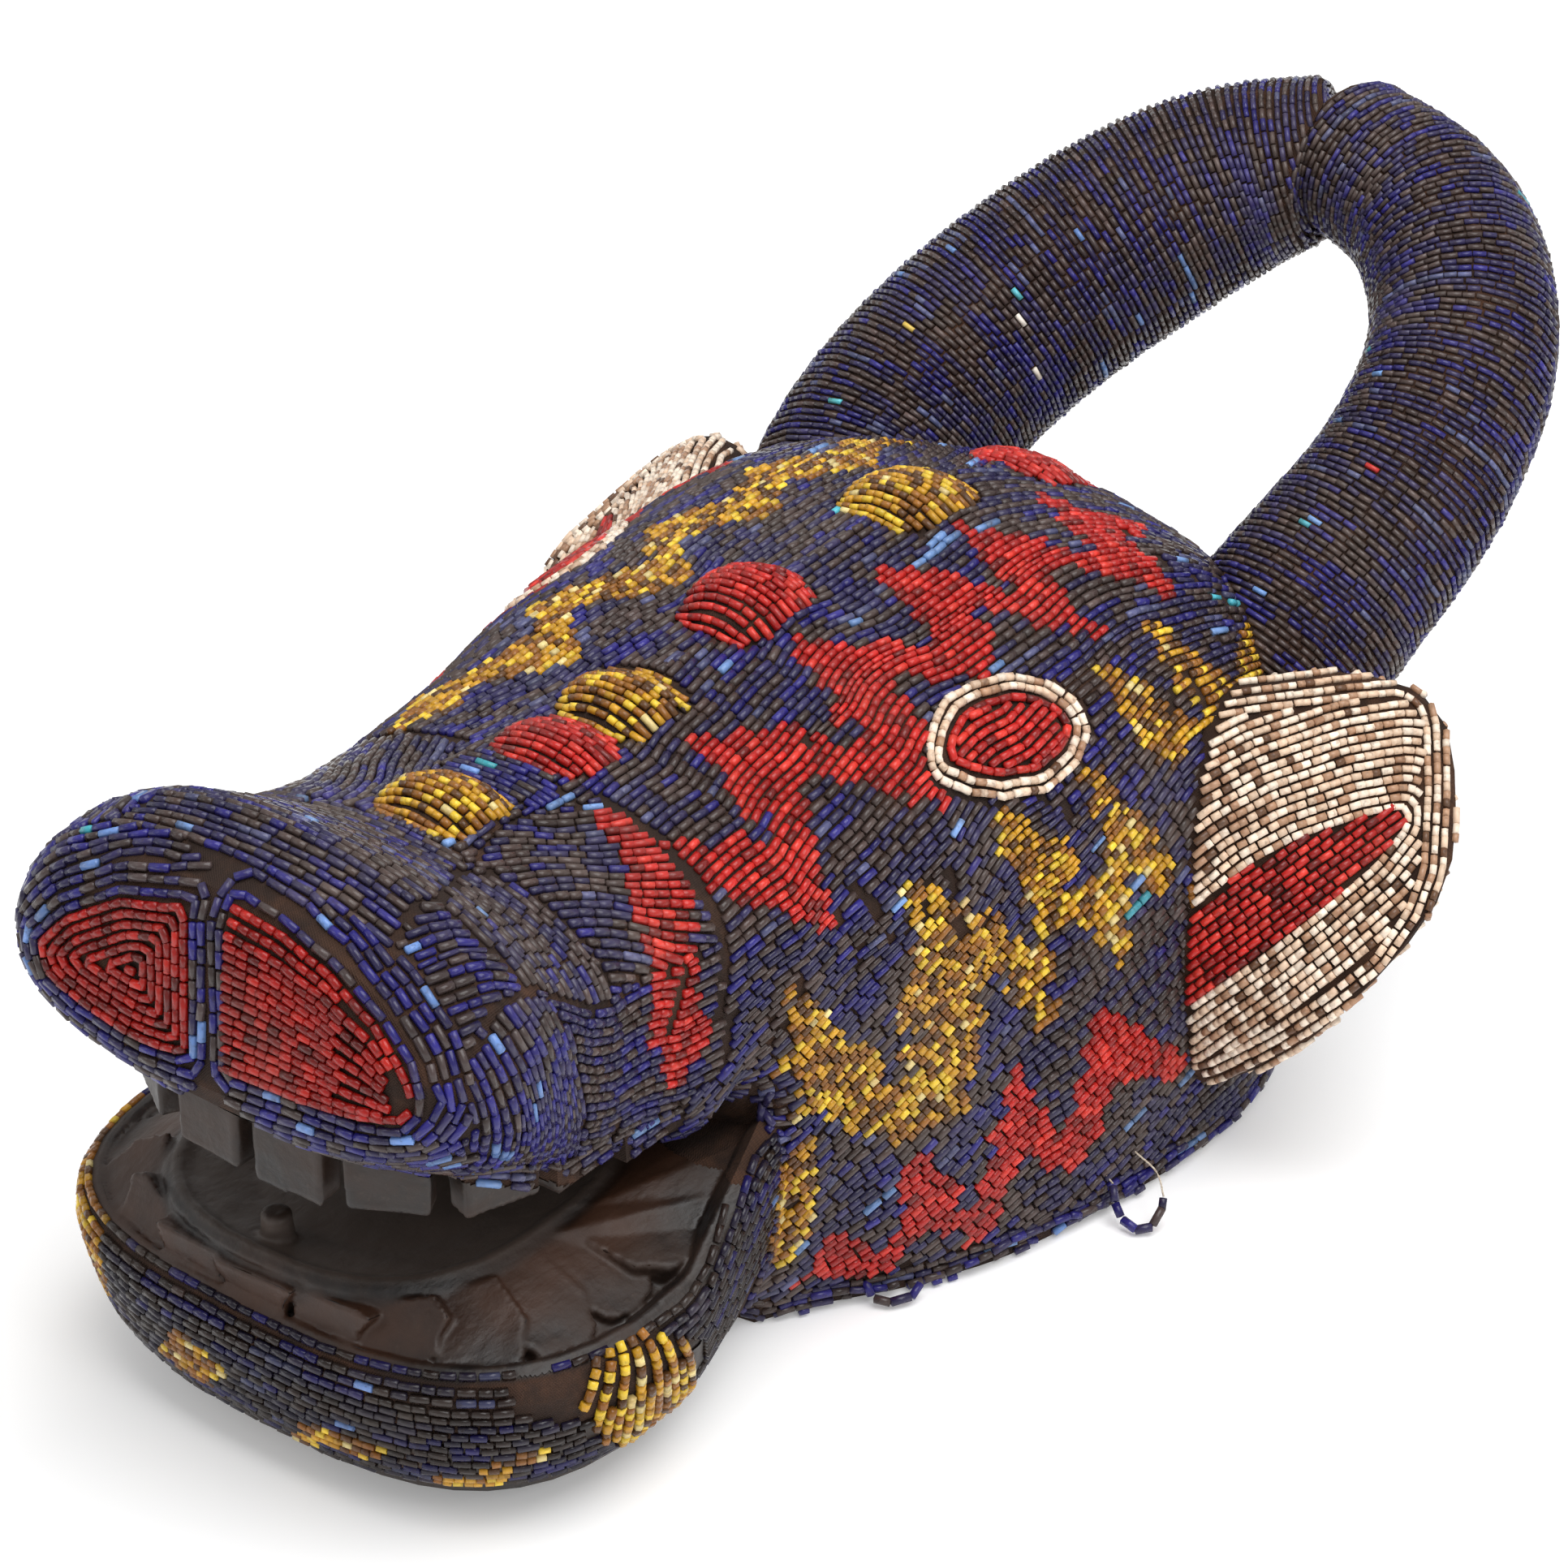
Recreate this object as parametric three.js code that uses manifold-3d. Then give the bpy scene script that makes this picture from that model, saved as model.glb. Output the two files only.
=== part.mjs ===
// A beaded buffalo mask that lies on its underside: millimetres, +Z up, the muzzle faces -Y.
// The head is hollow below, the mouth is open, and two horns close a loop behind the head.
import * as THREE from "three";
import { mergeVertices } from "three/addons/utils/BufferGeometryUtils.js";
import Module from "manifold-3d";

const wasm = await Module();
wasm.setup();

// Head, measured on the carved wood with its cloth
const backY = 200;
const noseLean = { share: 0.13, fromY: -300, toY: -230 };
const ridge = { height: 4, half: 34, fromY: -215, toY: -195 };
const hollow = { wall: 20, crownWall: 24, frontY: -52, below: 40, endRound: 3.2, endShare: 0.12 };
const hollowSides = 24;
const hollowRings = 12;
const seam = 0.3;

// Head sections from the nose to the back: ridge height, underside, half width, level of the widest point,
// and how square the section is above and below that level
const headSections = [
  { y: -309, top: 241, under: 180, half: 82, level: 203, crown: 2.2, foot: 2.3 },
  { y: -304, top: 250, under: 171, half: 92, level: 203, crown: 2.2, foot: 2.3 },
  { y: -292, top: 256, under: 161, half: 100, level: 202, crown: 2.2, foot: 2.3 },
  { y: -272, top: 259, under: 150, half: 103, level: 199, crown: 2.2, foot: 2.7 },
  { y: -248, top: 250, under: 138, half: 99, level: 196, crown: 2.25, foot: 3.4 },
  { y: -222, top: 235, under: 124, half: 91, level: 190, crown: 2.25, foot: 4 },
  { y: -190, top: 227, under: 109, half: 87, level: 182, crown: 2.3, foot: 4 },
  { y: -150, top: 223, under: 94, half: 90, level: 172, crown: 2.7, foot: 4 },
  { y: -122, top: 222, under: 80, half: 96, level: 164, crown: 2.9, foot: 3 },
  { y: -112, top: 222, under: -60, half: 98, level: 160, crown: 3, foot: 2.3 },
  { y: -90, top: 224, under: -60, half: 104, level: 150, crown: 3, foot: 2.6 },
  { y: -60, top: 228, under: -60, half: 114, level: 135, crown: 3.1, foot: 3.6 },
  { y: -20, top: 232, under: -60, half: 126, level: 115, crown: 3.1, foot: 5 },
  { y: 30, top: 235, under: -60, half: 135, level: 98, crown: 3, foot: 6 },
  { y: 80, top: 235, under: -60, half: 140, level: 90, crown: 3, foot: 7 },
  { y: 120, top: 228, under: -60, half: 137, level: 86, crown: 3, foot: 7 },
  { y: 152, top: 217, under: -60, half: 127, level: 84, crown: 3, foot: 7 },
  { y: 176, top: 203, under: -60, half: 112, level: 84, crown: 2.9, foot: 7 },
  { y: 191, top: 187, under: -60, half: 94, level: 84, crown: 2.8, foot: 7 },
  { y: 200, top: 166, under: -60, half: 70, level: 84, crown: 2.6, foot: 7 },
];
const sectionSides = 40;
const stationStep = 16;
const crowding = 0.3;

// Bosses that the middle of the forehead carries, from the nose to the nape
const bosses = [
  { y: -190, length: 42, height: 12 },
  { y: -130, length: 40, height: 9 },
  { y: -94, length: 40, height: 11 },
  { y: -20, length: 50, height: 14 },
  { y: 76, length: 54, height: 10 },
  { y: 150, length: 46, height: 7 },
];
const bossHalf = 26;
const bossRoot = 8;

// Lower jaw: a shovel with a lip, a row of teeth and the tongue plate
const jawMiddleY = -185;
const jawFront = 109;
const jawRear = 132;
const jawHalf = 122;
const jawShift = -11;
const jawPower = 3;
const jawNarrow = { fromY: -205, toY: -112, width: 0.19, shift: 0.8 };
const lip = { z: 74, rise: 30, fromY: -196, toY: -124 };
const jawProfile = [
  { out: 0.56, z: -14 },
  { out: 0.72, z: 0 },
  { out: 0.85, z: 12 },
  { out: 0.94, z: 30 },
  { out: 0.985, z: 50 },
  { out: 1.0, z: 62 },
  { out: 0.985, z: 70 },
  { out: 0.94, z: lip.z },
  { out: 0.9, z: 70 },
  { out: 0.87, z: 66 },
];
const jawSides = 40;

// Tongue plate: a scoop with a raised rim, which a flank joins to the feet of the teeth
const plate = { x: -14, y: -209, half: 74, front: 74, rear: 90, shoulder: 0.8 };
const plateProfile = [
  { out: 1, z: 88 },
  { out: 0.95, z: 91 },
  { out: 0.88, z: 88 },
  { out: 0.6, z: 83 },
];
const tongueNub = { x: -16, y: -266, z: 86, foot: 6, head: 4.8, height: 11 };

// Teeth stand on two arches, each square in front and straight behind rearY
const upperTooth = { width: 29, height: 36, depth: 11, taper: 0.1 };
const upperArch = { x: 0, half: 77, frontY: -287, rearY: -215, square: 2.9, straight: 110 };
const upperRow = { count: 9, pitch: 36, shift: 16 };
const upperFoot = { middle: 134, corner: 9, fall: 0.2, cornerY: -290, sideY: -250 };
const lowerTooth = { width: 28, thick: 16, sunk: 3, corner: 9, underRim: 4 };
const lowerToothJoin = { width: 36, above: 15, headShare: 0.75 };
const lowerArch = { x: -13, half: 106, frontY: -283, rearY: -205, square: 3.4, straight: 110 };
const lowerRow = { count: 13, pitch: 31, shift: 4 };
const lowerFootZ = 68;
const archSteps = 64;

// Mouth between the jaws and the recess of the palate
const palate = { half: 66, y: -196, halfLength: 78, z: 127.5, halfHeight: 32.5, corner: 0.7 };

// Horns: each follows a line on a plane that slopes up behind the head, from inside the skull to the crease
const hornRoot = { y: 207, z: 174 };
const hornTip = { y: 368, z: 275 };
const hornLines = {
  left: { across: [94, 101, 108, 96, 56, 0], along: [-62, -4, 62, 124, 172, 193], girth: [44, 38, 35, 31] },
  right: { across: [99, 108, 98, 70, 36, 0], along: [-62, -7, 54, 117, 164, 191], girth: [44, 44, 41, 31] },
};
const girthShares = [0, 0.45, 0.78, 1];
const hornSides = 16;
const hornSteps = 20;

// Ears: a thick leaf between the seam on the head and a free edge, both from the top to the foot
const earSeam = [
  { x: 106, y: 94, z: 183 },
  { x: 112, y: 60, z: 158 },
  { x: 114, y: 64, z: 108 },
  { x: 120, y: 73, z: 62 },
  { x: 128, y: 76, z: 35 },
];
const earEdge = [
  { x: 118, y: 120, z: 181 },
  { x: 147, y: 160, z: 177 },
  { x: 175, y: 173, z: 169 },
  { x: 203, y: 147, z: 142 },
  { x: 213, y: 122, z: 122 },
  { x: 201, y: 92, z: 91 },
  { x: 172, y: 85, z: 54 },
  { x: 140, y: 79, z: 32 },
];
const earThickness = 12;
const earEdgeRound = 0.75;
const earEndRound = 5;
const earBulge = { thick: 8, at: 0.38, spread: 0.24 };
const earSlit = { at: 0.56, half: 0.075, from: 0.1, to: 0.84, fade: 0.22, depth: 6 };
const earRings = 16;
const earSides = 16;

const wood = { color: 0x2b1f18, roughness: 0.75, metalness: 0 };
const indigo = { color: 0x1c1a3d, roughness: 0.4, metalness: 0 };
const cream = { color: 0xb79a7e, roughness: 0.45, metalness: 0 };

// Solids and meshes

// A closed geometry as a solid. A reshaped one may come out mirrored, so its faces are turned then.
function solidOf(geometry) {
  const bare = geometry.index ? geometry.toNonIndexed() : geometry.clone();
  bare.deleteAttribute("normal");
  bare.deleteAttribute("uv");
  const merged = mergeVertices(bare, 1e-3);
  const triVerts = new Uint32Array(merged.index.array);
  const vertProperties = merged.attributes.position.array;
  const solid = new wasm.Manifold(new wasm.Mesh({ numProp: 3, vertProperties, triVerts }));
  if (solid.volume() > 0) return solid;
  triVerts.reverse();
  return new wasm.Manifold(new wasm.Mesh({ numProp: 3, vertProperties, triVerts }));
}

function meshOf(name, solid, finish) {
  const { vertProperties, triVerts } = solid.getMesh();
  const geometry = new THREE.BufferGeometry();
  geometry.setAttribute("position", new THREE.BufferAttribute(vertProperties, 3));
  geometry.setIndex(new THREE.BufferAttribute(triVerts, 1));
  geometry.computeVertexNormals();
  const mesh = new THREE.Mesh(geometry, new THREE.MeshStandardMaterial(finish));
  mesh.name = name;
  return mesh;
}

// Moves every point of a geometry to where shape(x, y, z) says
function reshaped(geometry, shape) {
  const position = geometry.attributes.position;
  for (let i = 0; i < position.count; i++) {
    const point = shape(position.getX(i), position.getY(i), position.getZ(i));
    position.setXYZ(i, point.x, point.y, point.z);
  }
  return geometry;
}

// A closed drum whose rings become sections: place(angle, share along, share out from the axis)
function drum(sides, rings, place) {
  const geometry = new THREE.CylinderGeometry(1, 1, 1, sides, rings);
  return reshaped(geometry, (x, y, z) => {
    return place(Math.atan2(x, z), 0.5 - y, Math.hypot(x, z));
  });
}

const onAxis = 0.5;
const power = (value, exponent) => Math.sign(value) * Math.abs(value) ** exponent;
const smoothStep = (from, to, value) => THREE.MathUtils.smoothstep(value, from, to);

// Head

const sectionKeys = ["top", "under", "half", "level", "crown", "foot"];
const sectionLine = new THREE.CubicInterpolant(
  headSections.map((section) => section.y),
  headSections.flatMap((section) => sectionKeys.map((key) => section[key])),
  sectionKeys.length,
);

function ridgeLift(x, y) {
  const across = Math.min(1, Math.abs(x) / ridge.half);
  return ridge.height * smoothStep(ridge.fromY, ridge.toY, y) * (1 - across * across);
}

// A point on the head's skin at station y, with angle 0 on the ridge, moved out by grow
function skinPoint(y, angle, grow) {
  const [top, under, half, level, crown, foot] = sectionLine.evaluate(y);
  const up = Math.cos(angle);
  const square = up > 0 ? crown : foot;
  const x = (half + grow) * power(Math.sin(angle), 2 / square);
  const rise = up > 0 ? top + grow - level : level - under;
  const z = level + rise * power(up, 2 / square);
  const lean = noseLean.share * (z - level) * (1 - smoothStep(noseLean.fromY, noseLean.toY, y));
  const lift = up > 0 ? ridgeLift(x, y) : 0;
  return new THREE.Vector3(x, y + lean, z + lift);
}

// Stations are close where the sections change fast, and each end is a flat cap
function headStations() {
  const stations = [];
  for (let i = 0; i + 1 < headSections.length; i++) {
    const from = headSections[i].y;
    const to = headSections[i + 1].y;
    const steps = Math.max(1, Math.round((to - from) / stationStep));
    for (let k = 0; k < steps; k++) stations.push(from + ((to - from) * k) / steps);
  }
  stations.push(backY);
  return stations;
}

// Rings crowd towards the ridge, where the bosses need them
function ringAngle(angle) {
  return angle - crowding * Math.sin(angle);
}

function headSkin(grow) {
  const stations = headStations();
  const rings = stations.length - 1;
  return solidOf(
    drum(sectionSides, rings, (angle, along, out) => {
      const y = stations[Math.round(along * rings)];
      const level = sectionLine.evaluate(y)[3];
      return out < onAxis ? new THREE.Vector3(0, y, level) : skinPoint(y, ringAngle(angle), grow);
    }),
  );
}

// The hollow is open below and follows the skin inside, rounded at its front and back
function headHollow() {
  const { wall, crownWall, frontY, below, endRound, endShare } = hollow;
  return solidOf(
    drum(hollowSides, hollowRings, (angle, along, out) => {
      const y = frontY + (backY - wall - frontY) * along;
      const [top, , half, level, crown] = sectionLine.evaluate(y);
      if (out < onAxis) return new THREE.Vector3(0, y, level);
      const round = Math.sqrt(Math.max(endShare, 1 - Math.abs(2 * along - 1) ** endRound));
      const up = Math.cos(angle);
      const rise = up > 0 ? (top - crownWall - level) * round : level + below;
      const x = (half - wall) * round * power(Math.sin(angle), 2 / crown);
      return new THREE.Vector3(x, y, level + rise * power(up, 2 / crown));
    }),
  );
}

// A low oval boss on the ridge, lying along the slope of the crown
function bossSolid({ y, length, height }) {
  const ball = new THREE.SphereGeometry(1, 14, 8);
  const before = skinPoint(y - length / 2, 0, 0).z;
  const after = skinPoint(y + length / 2, 0, 0).z;
  ball.scale(bossHalf, length / 2, height - ridge.height + bossRoot);
  ball.rotateX(Math.atan2(after - before, length));
  return solidOf(ball.translate(0, y, skinPoint(y, 0, 0).z - bossRoot));
}

// Lower jaw: the profile turned round, then drawn out to the jaw's plan

function jawPlan(angle, out) {
  const x = jawHalf * power(Math.sin(angle), 2 / jawPower);
  const reach = Math.cos(angle) > 0 ? jawFront : jawRear;
  const y = jawMiddleY - reach * power(Math.cos(angle), 2 / jawPower) * out;
  const back = smoothStep(jawNarrow.fromY, jawNarrow.toY, y);
  const shift = jawShift * (1 - jawNarrow.shift * back);
  return { x: shift + x * out * (1 - jawNarrow.width * back), y };
}

function platePlan(angle, out) {
  const x = plate.half * power(Math.sin(angle), plate.shoulder);
  const reach = Math.cos(angle) > 0 ? plate.front : plate.rear;
  return { x: plate.x + x * out, y: plate.y - reach * power(Math.cos(angle), plate.shoulder) * out };
}

function lipLift(y, z) {
  return lip.rise * smoothStep(lip.fromY, lip.toY, y) * smoothStep(0, lip.z, z);
}

// Rings of the jaw from the middle of its underside, round the lip, to the middle of the tongue plate
function jawBody() {
  const middle = jawPlan(0, 0);
  const rings = [
    () => ({ ...middle, z: jawProfile[0].z }),
    ...jawProfile.map(({ out, z }) => (angle) => {
      const plan = jawPlan(angle, out);
      return { ...plan, z: z + lipLift(plan.y, z) };
    }),
    ...plateProfile.map(({ out, z }) => (angle) => ({ ...platePlan(angle, out), z })),
    () => ({ ...platePlan(0, 0), z: plateProfile.at(-1).z }),
  ];
  const profile = rings.map((ring, i) => new THREE.Vector2(i === 0 || i === rings.length - 1 ? 0 : 1, i));
  const turned = new THREE.LatheGeometry(profile, jawSides);
  return solidOf(reshaped(turned, (x, y, z) => rings[Math.round(y)](Math.atan2(x, z))));
}

function nub() {
  const { x, y, z, foot, head, height } = tongueNub;
  const peg = new THREE.CylinderGeometry(head, foot, height, 12);
  return solidOf(peg.rotateX(Math.PI / 2).translate(x, y, z + height / 2));
}

// Teeth

// Points at even steps on a horseshoe, with the way that each tooth faces
function horseshoe({ x: middle, half, frontY, rearY, square, straight }, { count, pitch, shift }) {
  const points = [];
  for (let i = 0; i <= archSteps; i++) {
    const angle = Math.PI * (i / archSteps - 0.5);
    const x = middle + half * power(Math.sin(angle), 2 / square);
    const y = rearY - (rearY - frontY) * power(Math.cos(angle), 2 / square);
    points.push(new THREE.Vector3(x, y, 0));
  }
  points.unshift(new THREE.Vector3(middle - half, rearY + straight, 0));
  points.push(new THREE.Vector3(middle + half, rearY + straight, 0));
  const path = new THREE.CurvePath();
  for (let i = 0; i + 1 < points.length; i++) path.add(new THREE.LineCurve3(points[i], points[i + 1]));
  const length = path.getLength();
  const reach = pitch / length / 4;
  const places = [];
  for (let i = 0; i < count; i++) {
    const share = 0.5 + ((i - (count - 1) / 2) * pitch + shift) / length;
    const tangent = path.getPointAt(share + reach).sub(path.getPointAt(share - reach));
    places.push({ point: path.getPointAt(share), turn: Math.atan2(tangent.y, tangent.x) });
  }
  return places;
}

// The foot of an upper tooth hangs lowest in the middle of the front
function upperFootZ({ x, y }) {
  const { middle, corner, fall, cornerY, sideY } = upperFoot;
  const front = 1 - smoothStep(cornerY, sideY, y);
  return middle + corner * (x / upperArch.half) ** 2 * front - fall * Math.max(0, y - sideY);
}

function upperToothSolid(place) {
  const { width, height, depth, taper } = upperTooth;
  const tooth = reshaped(new THREE.BoxGeometry(width, depth, height, 2, 1, 2), (x, y, z) => {
    return new THREE.Vector3(x * (1 + (taper * z) / height), y, z + height / 2);
  });
  tooth.rotateZ(place.turn);
  return solidOf(tooth.translate(place.point.x, place.point.y, upperFootZ(place.point)));
}

// The point of the plate's rim that is nearest to a foot
function nearestRim(foot) {
  const rim = [];
  for (let i = -archSteps; i <= archSteps; i++) {
    const { x, y } = platePlan((Math.PI * 0.55 * i) / archSteps, 1);
    rim.push(new THREE.Vector3(x, y, plateProfile[0].z - lowerTooth.underRim));
  }
  return rim.reduce((best, point) => (point.distanceTo(foot) < best.distanceTo(foot) ? point : best));
}

// A lower tooth is a tab that lies on the flank, from its rounded foot up to the plate's rim.
// It widens above its foot to join its neighbours, so only short notches part them
function lowerToothSolid(place) {
  const { width, thick, sunk, corner } = lowerTooth;
  const { width: joined, above, headShare } = lowerToothJoin;
  const foot = place.point.clone();
  foot.z = lowerFootZ + lipLift(foot.y, lip.z);
  const head = nearestRim(foot);
  const along = head.clone().sub(foot);
  const length = along.length();
  const tab = new THREE.Shape();
  tab.moveTo((-joined * headShare) / 2, length);
  tab.lineTo(-joined / 2, above);
  tab.lineTo(-width / 2, corner);
  tab.quadraticCurveTo(-width / 2, 0, -width / 2 + corner, 0);
  tab.lineTo(width / 2 - corner, 0);
  tab.quadraticCurveTo(width / 2, 0, width / 2, corner);
  tab.lineTo(joined / 2, above);
  tab.lineTo((joined * headShare) / 2, length);
  tab.closePath();
  const tooth = new THREE.ExtrudeGeometry(tab, { depth: thick, bevelEnabled: false, curveSegments: 3 });
  const tangent = new THREE.Vector3(Math.cos(place.turn), Math.sin(place.turn), 0);
  const outwards = new THREE.Vector3().crossVectors(tangent, along).normalize();
  const across = new THREE.Vector3().crossVectors(along, outwards).normalize();
  const basis = new THREE.Matrix4().makeBasis(across, along.normalize(), outwards);
  basis.setPosition(foot.addScaledVector(outwards, sunk - thick));
  return solidOf(tooth.applyMatrix4(basis));
}

function addTeeth(head) {
  let solid = head;
  for (const place of horseshoe(upperArch, upperRow)) solid = solid.add(upperToothSolid(place));
  for (const place of horseshoe(lowerArch, lowerRow)) solid = solid.add(lowerToothSolid(place));
  return solid;
}

// The vault of the palate, squared at its corners
function mouthRecess() {
  const { half, y: middleY, halfLength, z: middleZ, halfHeight, corner } = palate;
  const ball = new THREE.SphereGeometry(1, 20, 10);
  return solidOf(
    reshaped(ball, (x, y, z) => {
      return new THREE.Vector3(
        half * power(x, corner),
        middleY + halfLength * power(z, corner),
        middleZ + halfHeight * power(y, corner),
      );
    }),
  );
}

function carvedHead() {
  const floor = new THREE.BoxGeometry(800, 1200, 200).translate(0, 0, -100);
  let body = headSkin(0).add(jawBody()).subtract(mouthRecess());
  for (const boss of bosses) body = body.add(bossSolid(boss));
  return addTeeth(body.add(nub())).subtract(headHollow()).subtract(solidOf(floor));
}

// Horns

function horn(side, { across, along, girth }, grow) {
  const slope = Math.atan2(hornTip.z - hornRoot.z, hornTip.y - hornRoot.y);
  const normal = new THREE.Vector3(0, -Math.sin(slope), Math.cos(slope));
  const line = new THREE.CatmullRomCurve3(
    across.map((x, i) => {
      const y = hornRoot.y + along[i] * Math.cos(slope);
      const z = hornRoot.z + along[i] * Math.sin(slope);
      return new THREE.Vector3(side * x, y, z);
    }),
  );
  const girthLine = new THREE.CubicInterpolant(girthShares, girth, 1);
  return solidOf(
    drum(hornSides, hornSteps, (angle, share, out) => {
      const outwards = new THREE.Vector3().crossVectors(line.getTangentAt(share), normal);
      const radius = (girthLine.evaluate(share)[0] + grow) * out;
      return line
        .getPointAt(share)
        .addScaledVector(outwards, radius * Math.cos(angle))
        .addScaledVector(normal, radius * Math.sin(angle));
    }),
  );
}

// Ears

function curveThrough(points, side) {
  return new THREE.CatmullRomCurve3(points.map(({ x, y, z }) => new THREE.Vector3(side * x, y, z)));
}

// Half the ear's thickness on the slice at share, less the slit on the face that looks forward
function earDepth(share, out, front) {
  const bulge = earBulge.thick * Math.exp(-(((share - earBulge.at) / earBulge.spread) ** 2)) * (1 - out);
  if (!front) return earThickness + bulge;
  const { at, half, from, to, fade, depth } = earSlit;
  const length = smoothStep(from - fade, from, out) * (1 - smoothStep(to - fade, to, out));
  return earThickness + bulge - depth * length * Math.exp(-(((share - at) / half) ** 2));
}

// Slices from the seam to the edge, stacked from the top of the ear to its foot
function ear(side) {
  const seamLine = curveThrough(earSeam, side);
  const edgeLine = curveThrough(earEdge, side);
  const leaf = drum(earSides, earRings, (angle, along, radial) => {
    const share = 0.01 + 0.98 * along;
    const inner = seamLine.getPointAt(share);
    const outwards = edgeLine.getPointAt(share).sub(inner);
    const face = new THREE.Vector3().crossVectors(seamLine.getTangentAt(share), outwards).normalize();
    const out = (1 + power(Math.cos(angle), earEdgeRound) * radial) / 2;
    const aside = power(Math.sin(angle), earEdgeRound) * radial;
    const ends = Math.sqrt(1 - Math.abs(2 * share - 1) ** earEndRound);
    const depth = side * aside * ends * earDepth(share, out, aside < 0);
    return inner.addScaledVector(outwards, out).addScaledVector(face, depth);
  });
  return solidOf(leaf);
}

// The mask stands on its underside, and its origin is below the middle of its box

const grownHead = headSkin(seam);
const halfSpace = (side) => {
  return solidOf(new THREE.BoxGeometry(400, 1200, 800).translate(side * (200 + seam / 2), 0, 0));
};
const mask = new THREE.Group();
mask.name = "buffalo_mask";
mask.add(meshOf("carved_head", carvedHead(), wood));
for (const [word, side] of [["left", 1], ["right", -1]]) {
  const line = hornLines[word];
  const hornBody = horn(side, line, 0).subtract(grownHead).intersect(halfSpace(side));
  const earBody = ear(side).subtract(grownHead).subtract(horn(side, line, seam));
  mask.add(meshOf(`${word}_horn`, hornBody, indigo));
  mask.add(meshOf(`${word}_ear`, earBody, cream));
}
const box = new THREE.Box3().setFromObject(mask);
mask.position.y = -(box.min.y + box.max.y) / 2;

export default mask;
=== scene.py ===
import math
import random

import bmesh
import bpy
import numpy as np
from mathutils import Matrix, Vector, noise
from mathutils.bvhtree import BVHTree


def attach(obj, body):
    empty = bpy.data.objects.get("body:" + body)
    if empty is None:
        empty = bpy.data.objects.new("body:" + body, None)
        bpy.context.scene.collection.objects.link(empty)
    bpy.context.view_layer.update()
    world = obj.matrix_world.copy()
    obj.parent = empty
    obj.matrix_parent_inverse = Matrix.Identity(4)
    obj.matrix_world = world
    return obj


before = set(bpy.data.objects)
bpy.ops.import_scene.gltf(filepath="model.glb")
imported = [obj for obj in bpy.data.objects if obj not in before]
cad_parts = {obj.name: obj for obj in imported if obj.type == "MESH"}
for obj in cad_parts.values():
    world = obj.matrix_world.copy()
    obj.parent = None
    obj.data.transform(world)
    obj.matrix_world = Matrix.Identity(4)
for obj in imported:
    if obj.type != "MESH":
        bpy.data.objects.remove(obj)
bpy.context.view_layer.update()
print("carving loaded")

# Sizes are millimetres in the mask's own frame, and become metres where a mesh is made. The camera, the lamps
# and the floor are in metres
mm = 0.001


def smooth(low, high, value):
    share = np.clip((value - low) / (high - low), 0, 1)
    return share * share * (3 - 2 * share)


def tint(red, green, blue):  # a colour as the eye sees it, 0 to 255, to scene light
    share = np.array([red, green, blue]) / 255
    return tuple(np.where(share <= 0.04045, share / 12.92, ((share + 0.055) / 1.055) ** 2.4))


# Camera, floor and light

camera = {"target": (0.0, -0.04377, 0.15), "turn": 38.0, "rise": 31.0, "distance": 2.05, "lens": 126.06,
          "film": 36.0, "frame": 1932}  # the photo's frame, in pixels


def towardsCamera(turn, rise):
    turn, rise = math.radians(turn), math.radians(rise)
    return Vector((math.sin(turn) * math.cos(rise), -math.cos(turn) * math.cos(rise), math.sin(rise)))


def makeCamera(plan):
    lens = bpy.data.cameras.new("camera")
    lens.lens = plan["lens"]
    lens.sensor_width = plan["film"]
    lens.clip_start, lens.clip_end = 0.05, 50
    holder = bpy.data.objects.new("camera", lens)
    back = towardsCamera(plan["turn"], plan["rise"])
    holder.location = Vector(plan["target"]) + back * plan["distance"]
    holder.rotation_euler = back.to_track_quat("Z", "Y").to_euler()
    bpy.context.scene.collection.objects.link(holder)
    bpy.context.scene.camera = holder


studio = {
    "ambient": 0.56,
    "ambientColour": (1.0, 1.0, 1.0),
    "lamps": [  # place, aim, size, watts
        ((0.75, -0.05, 2.7), (0, 0, 0.1), 2.5, 74),
        ((1.9, -0.7, 1.7), (0, 0, 0.1), 0.5, 5),
        ((-1.9, -1.6, 1.5), (0, -0.1, 0.1), 1.2, 5),
    ],
    "floorSide": 24,
    "floorDrop": 0.0004,  # keeps the floor clear of the faces that lie on it
    "floorTone": 0.88,
    "floorGlow": 0.22,
}


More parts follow.
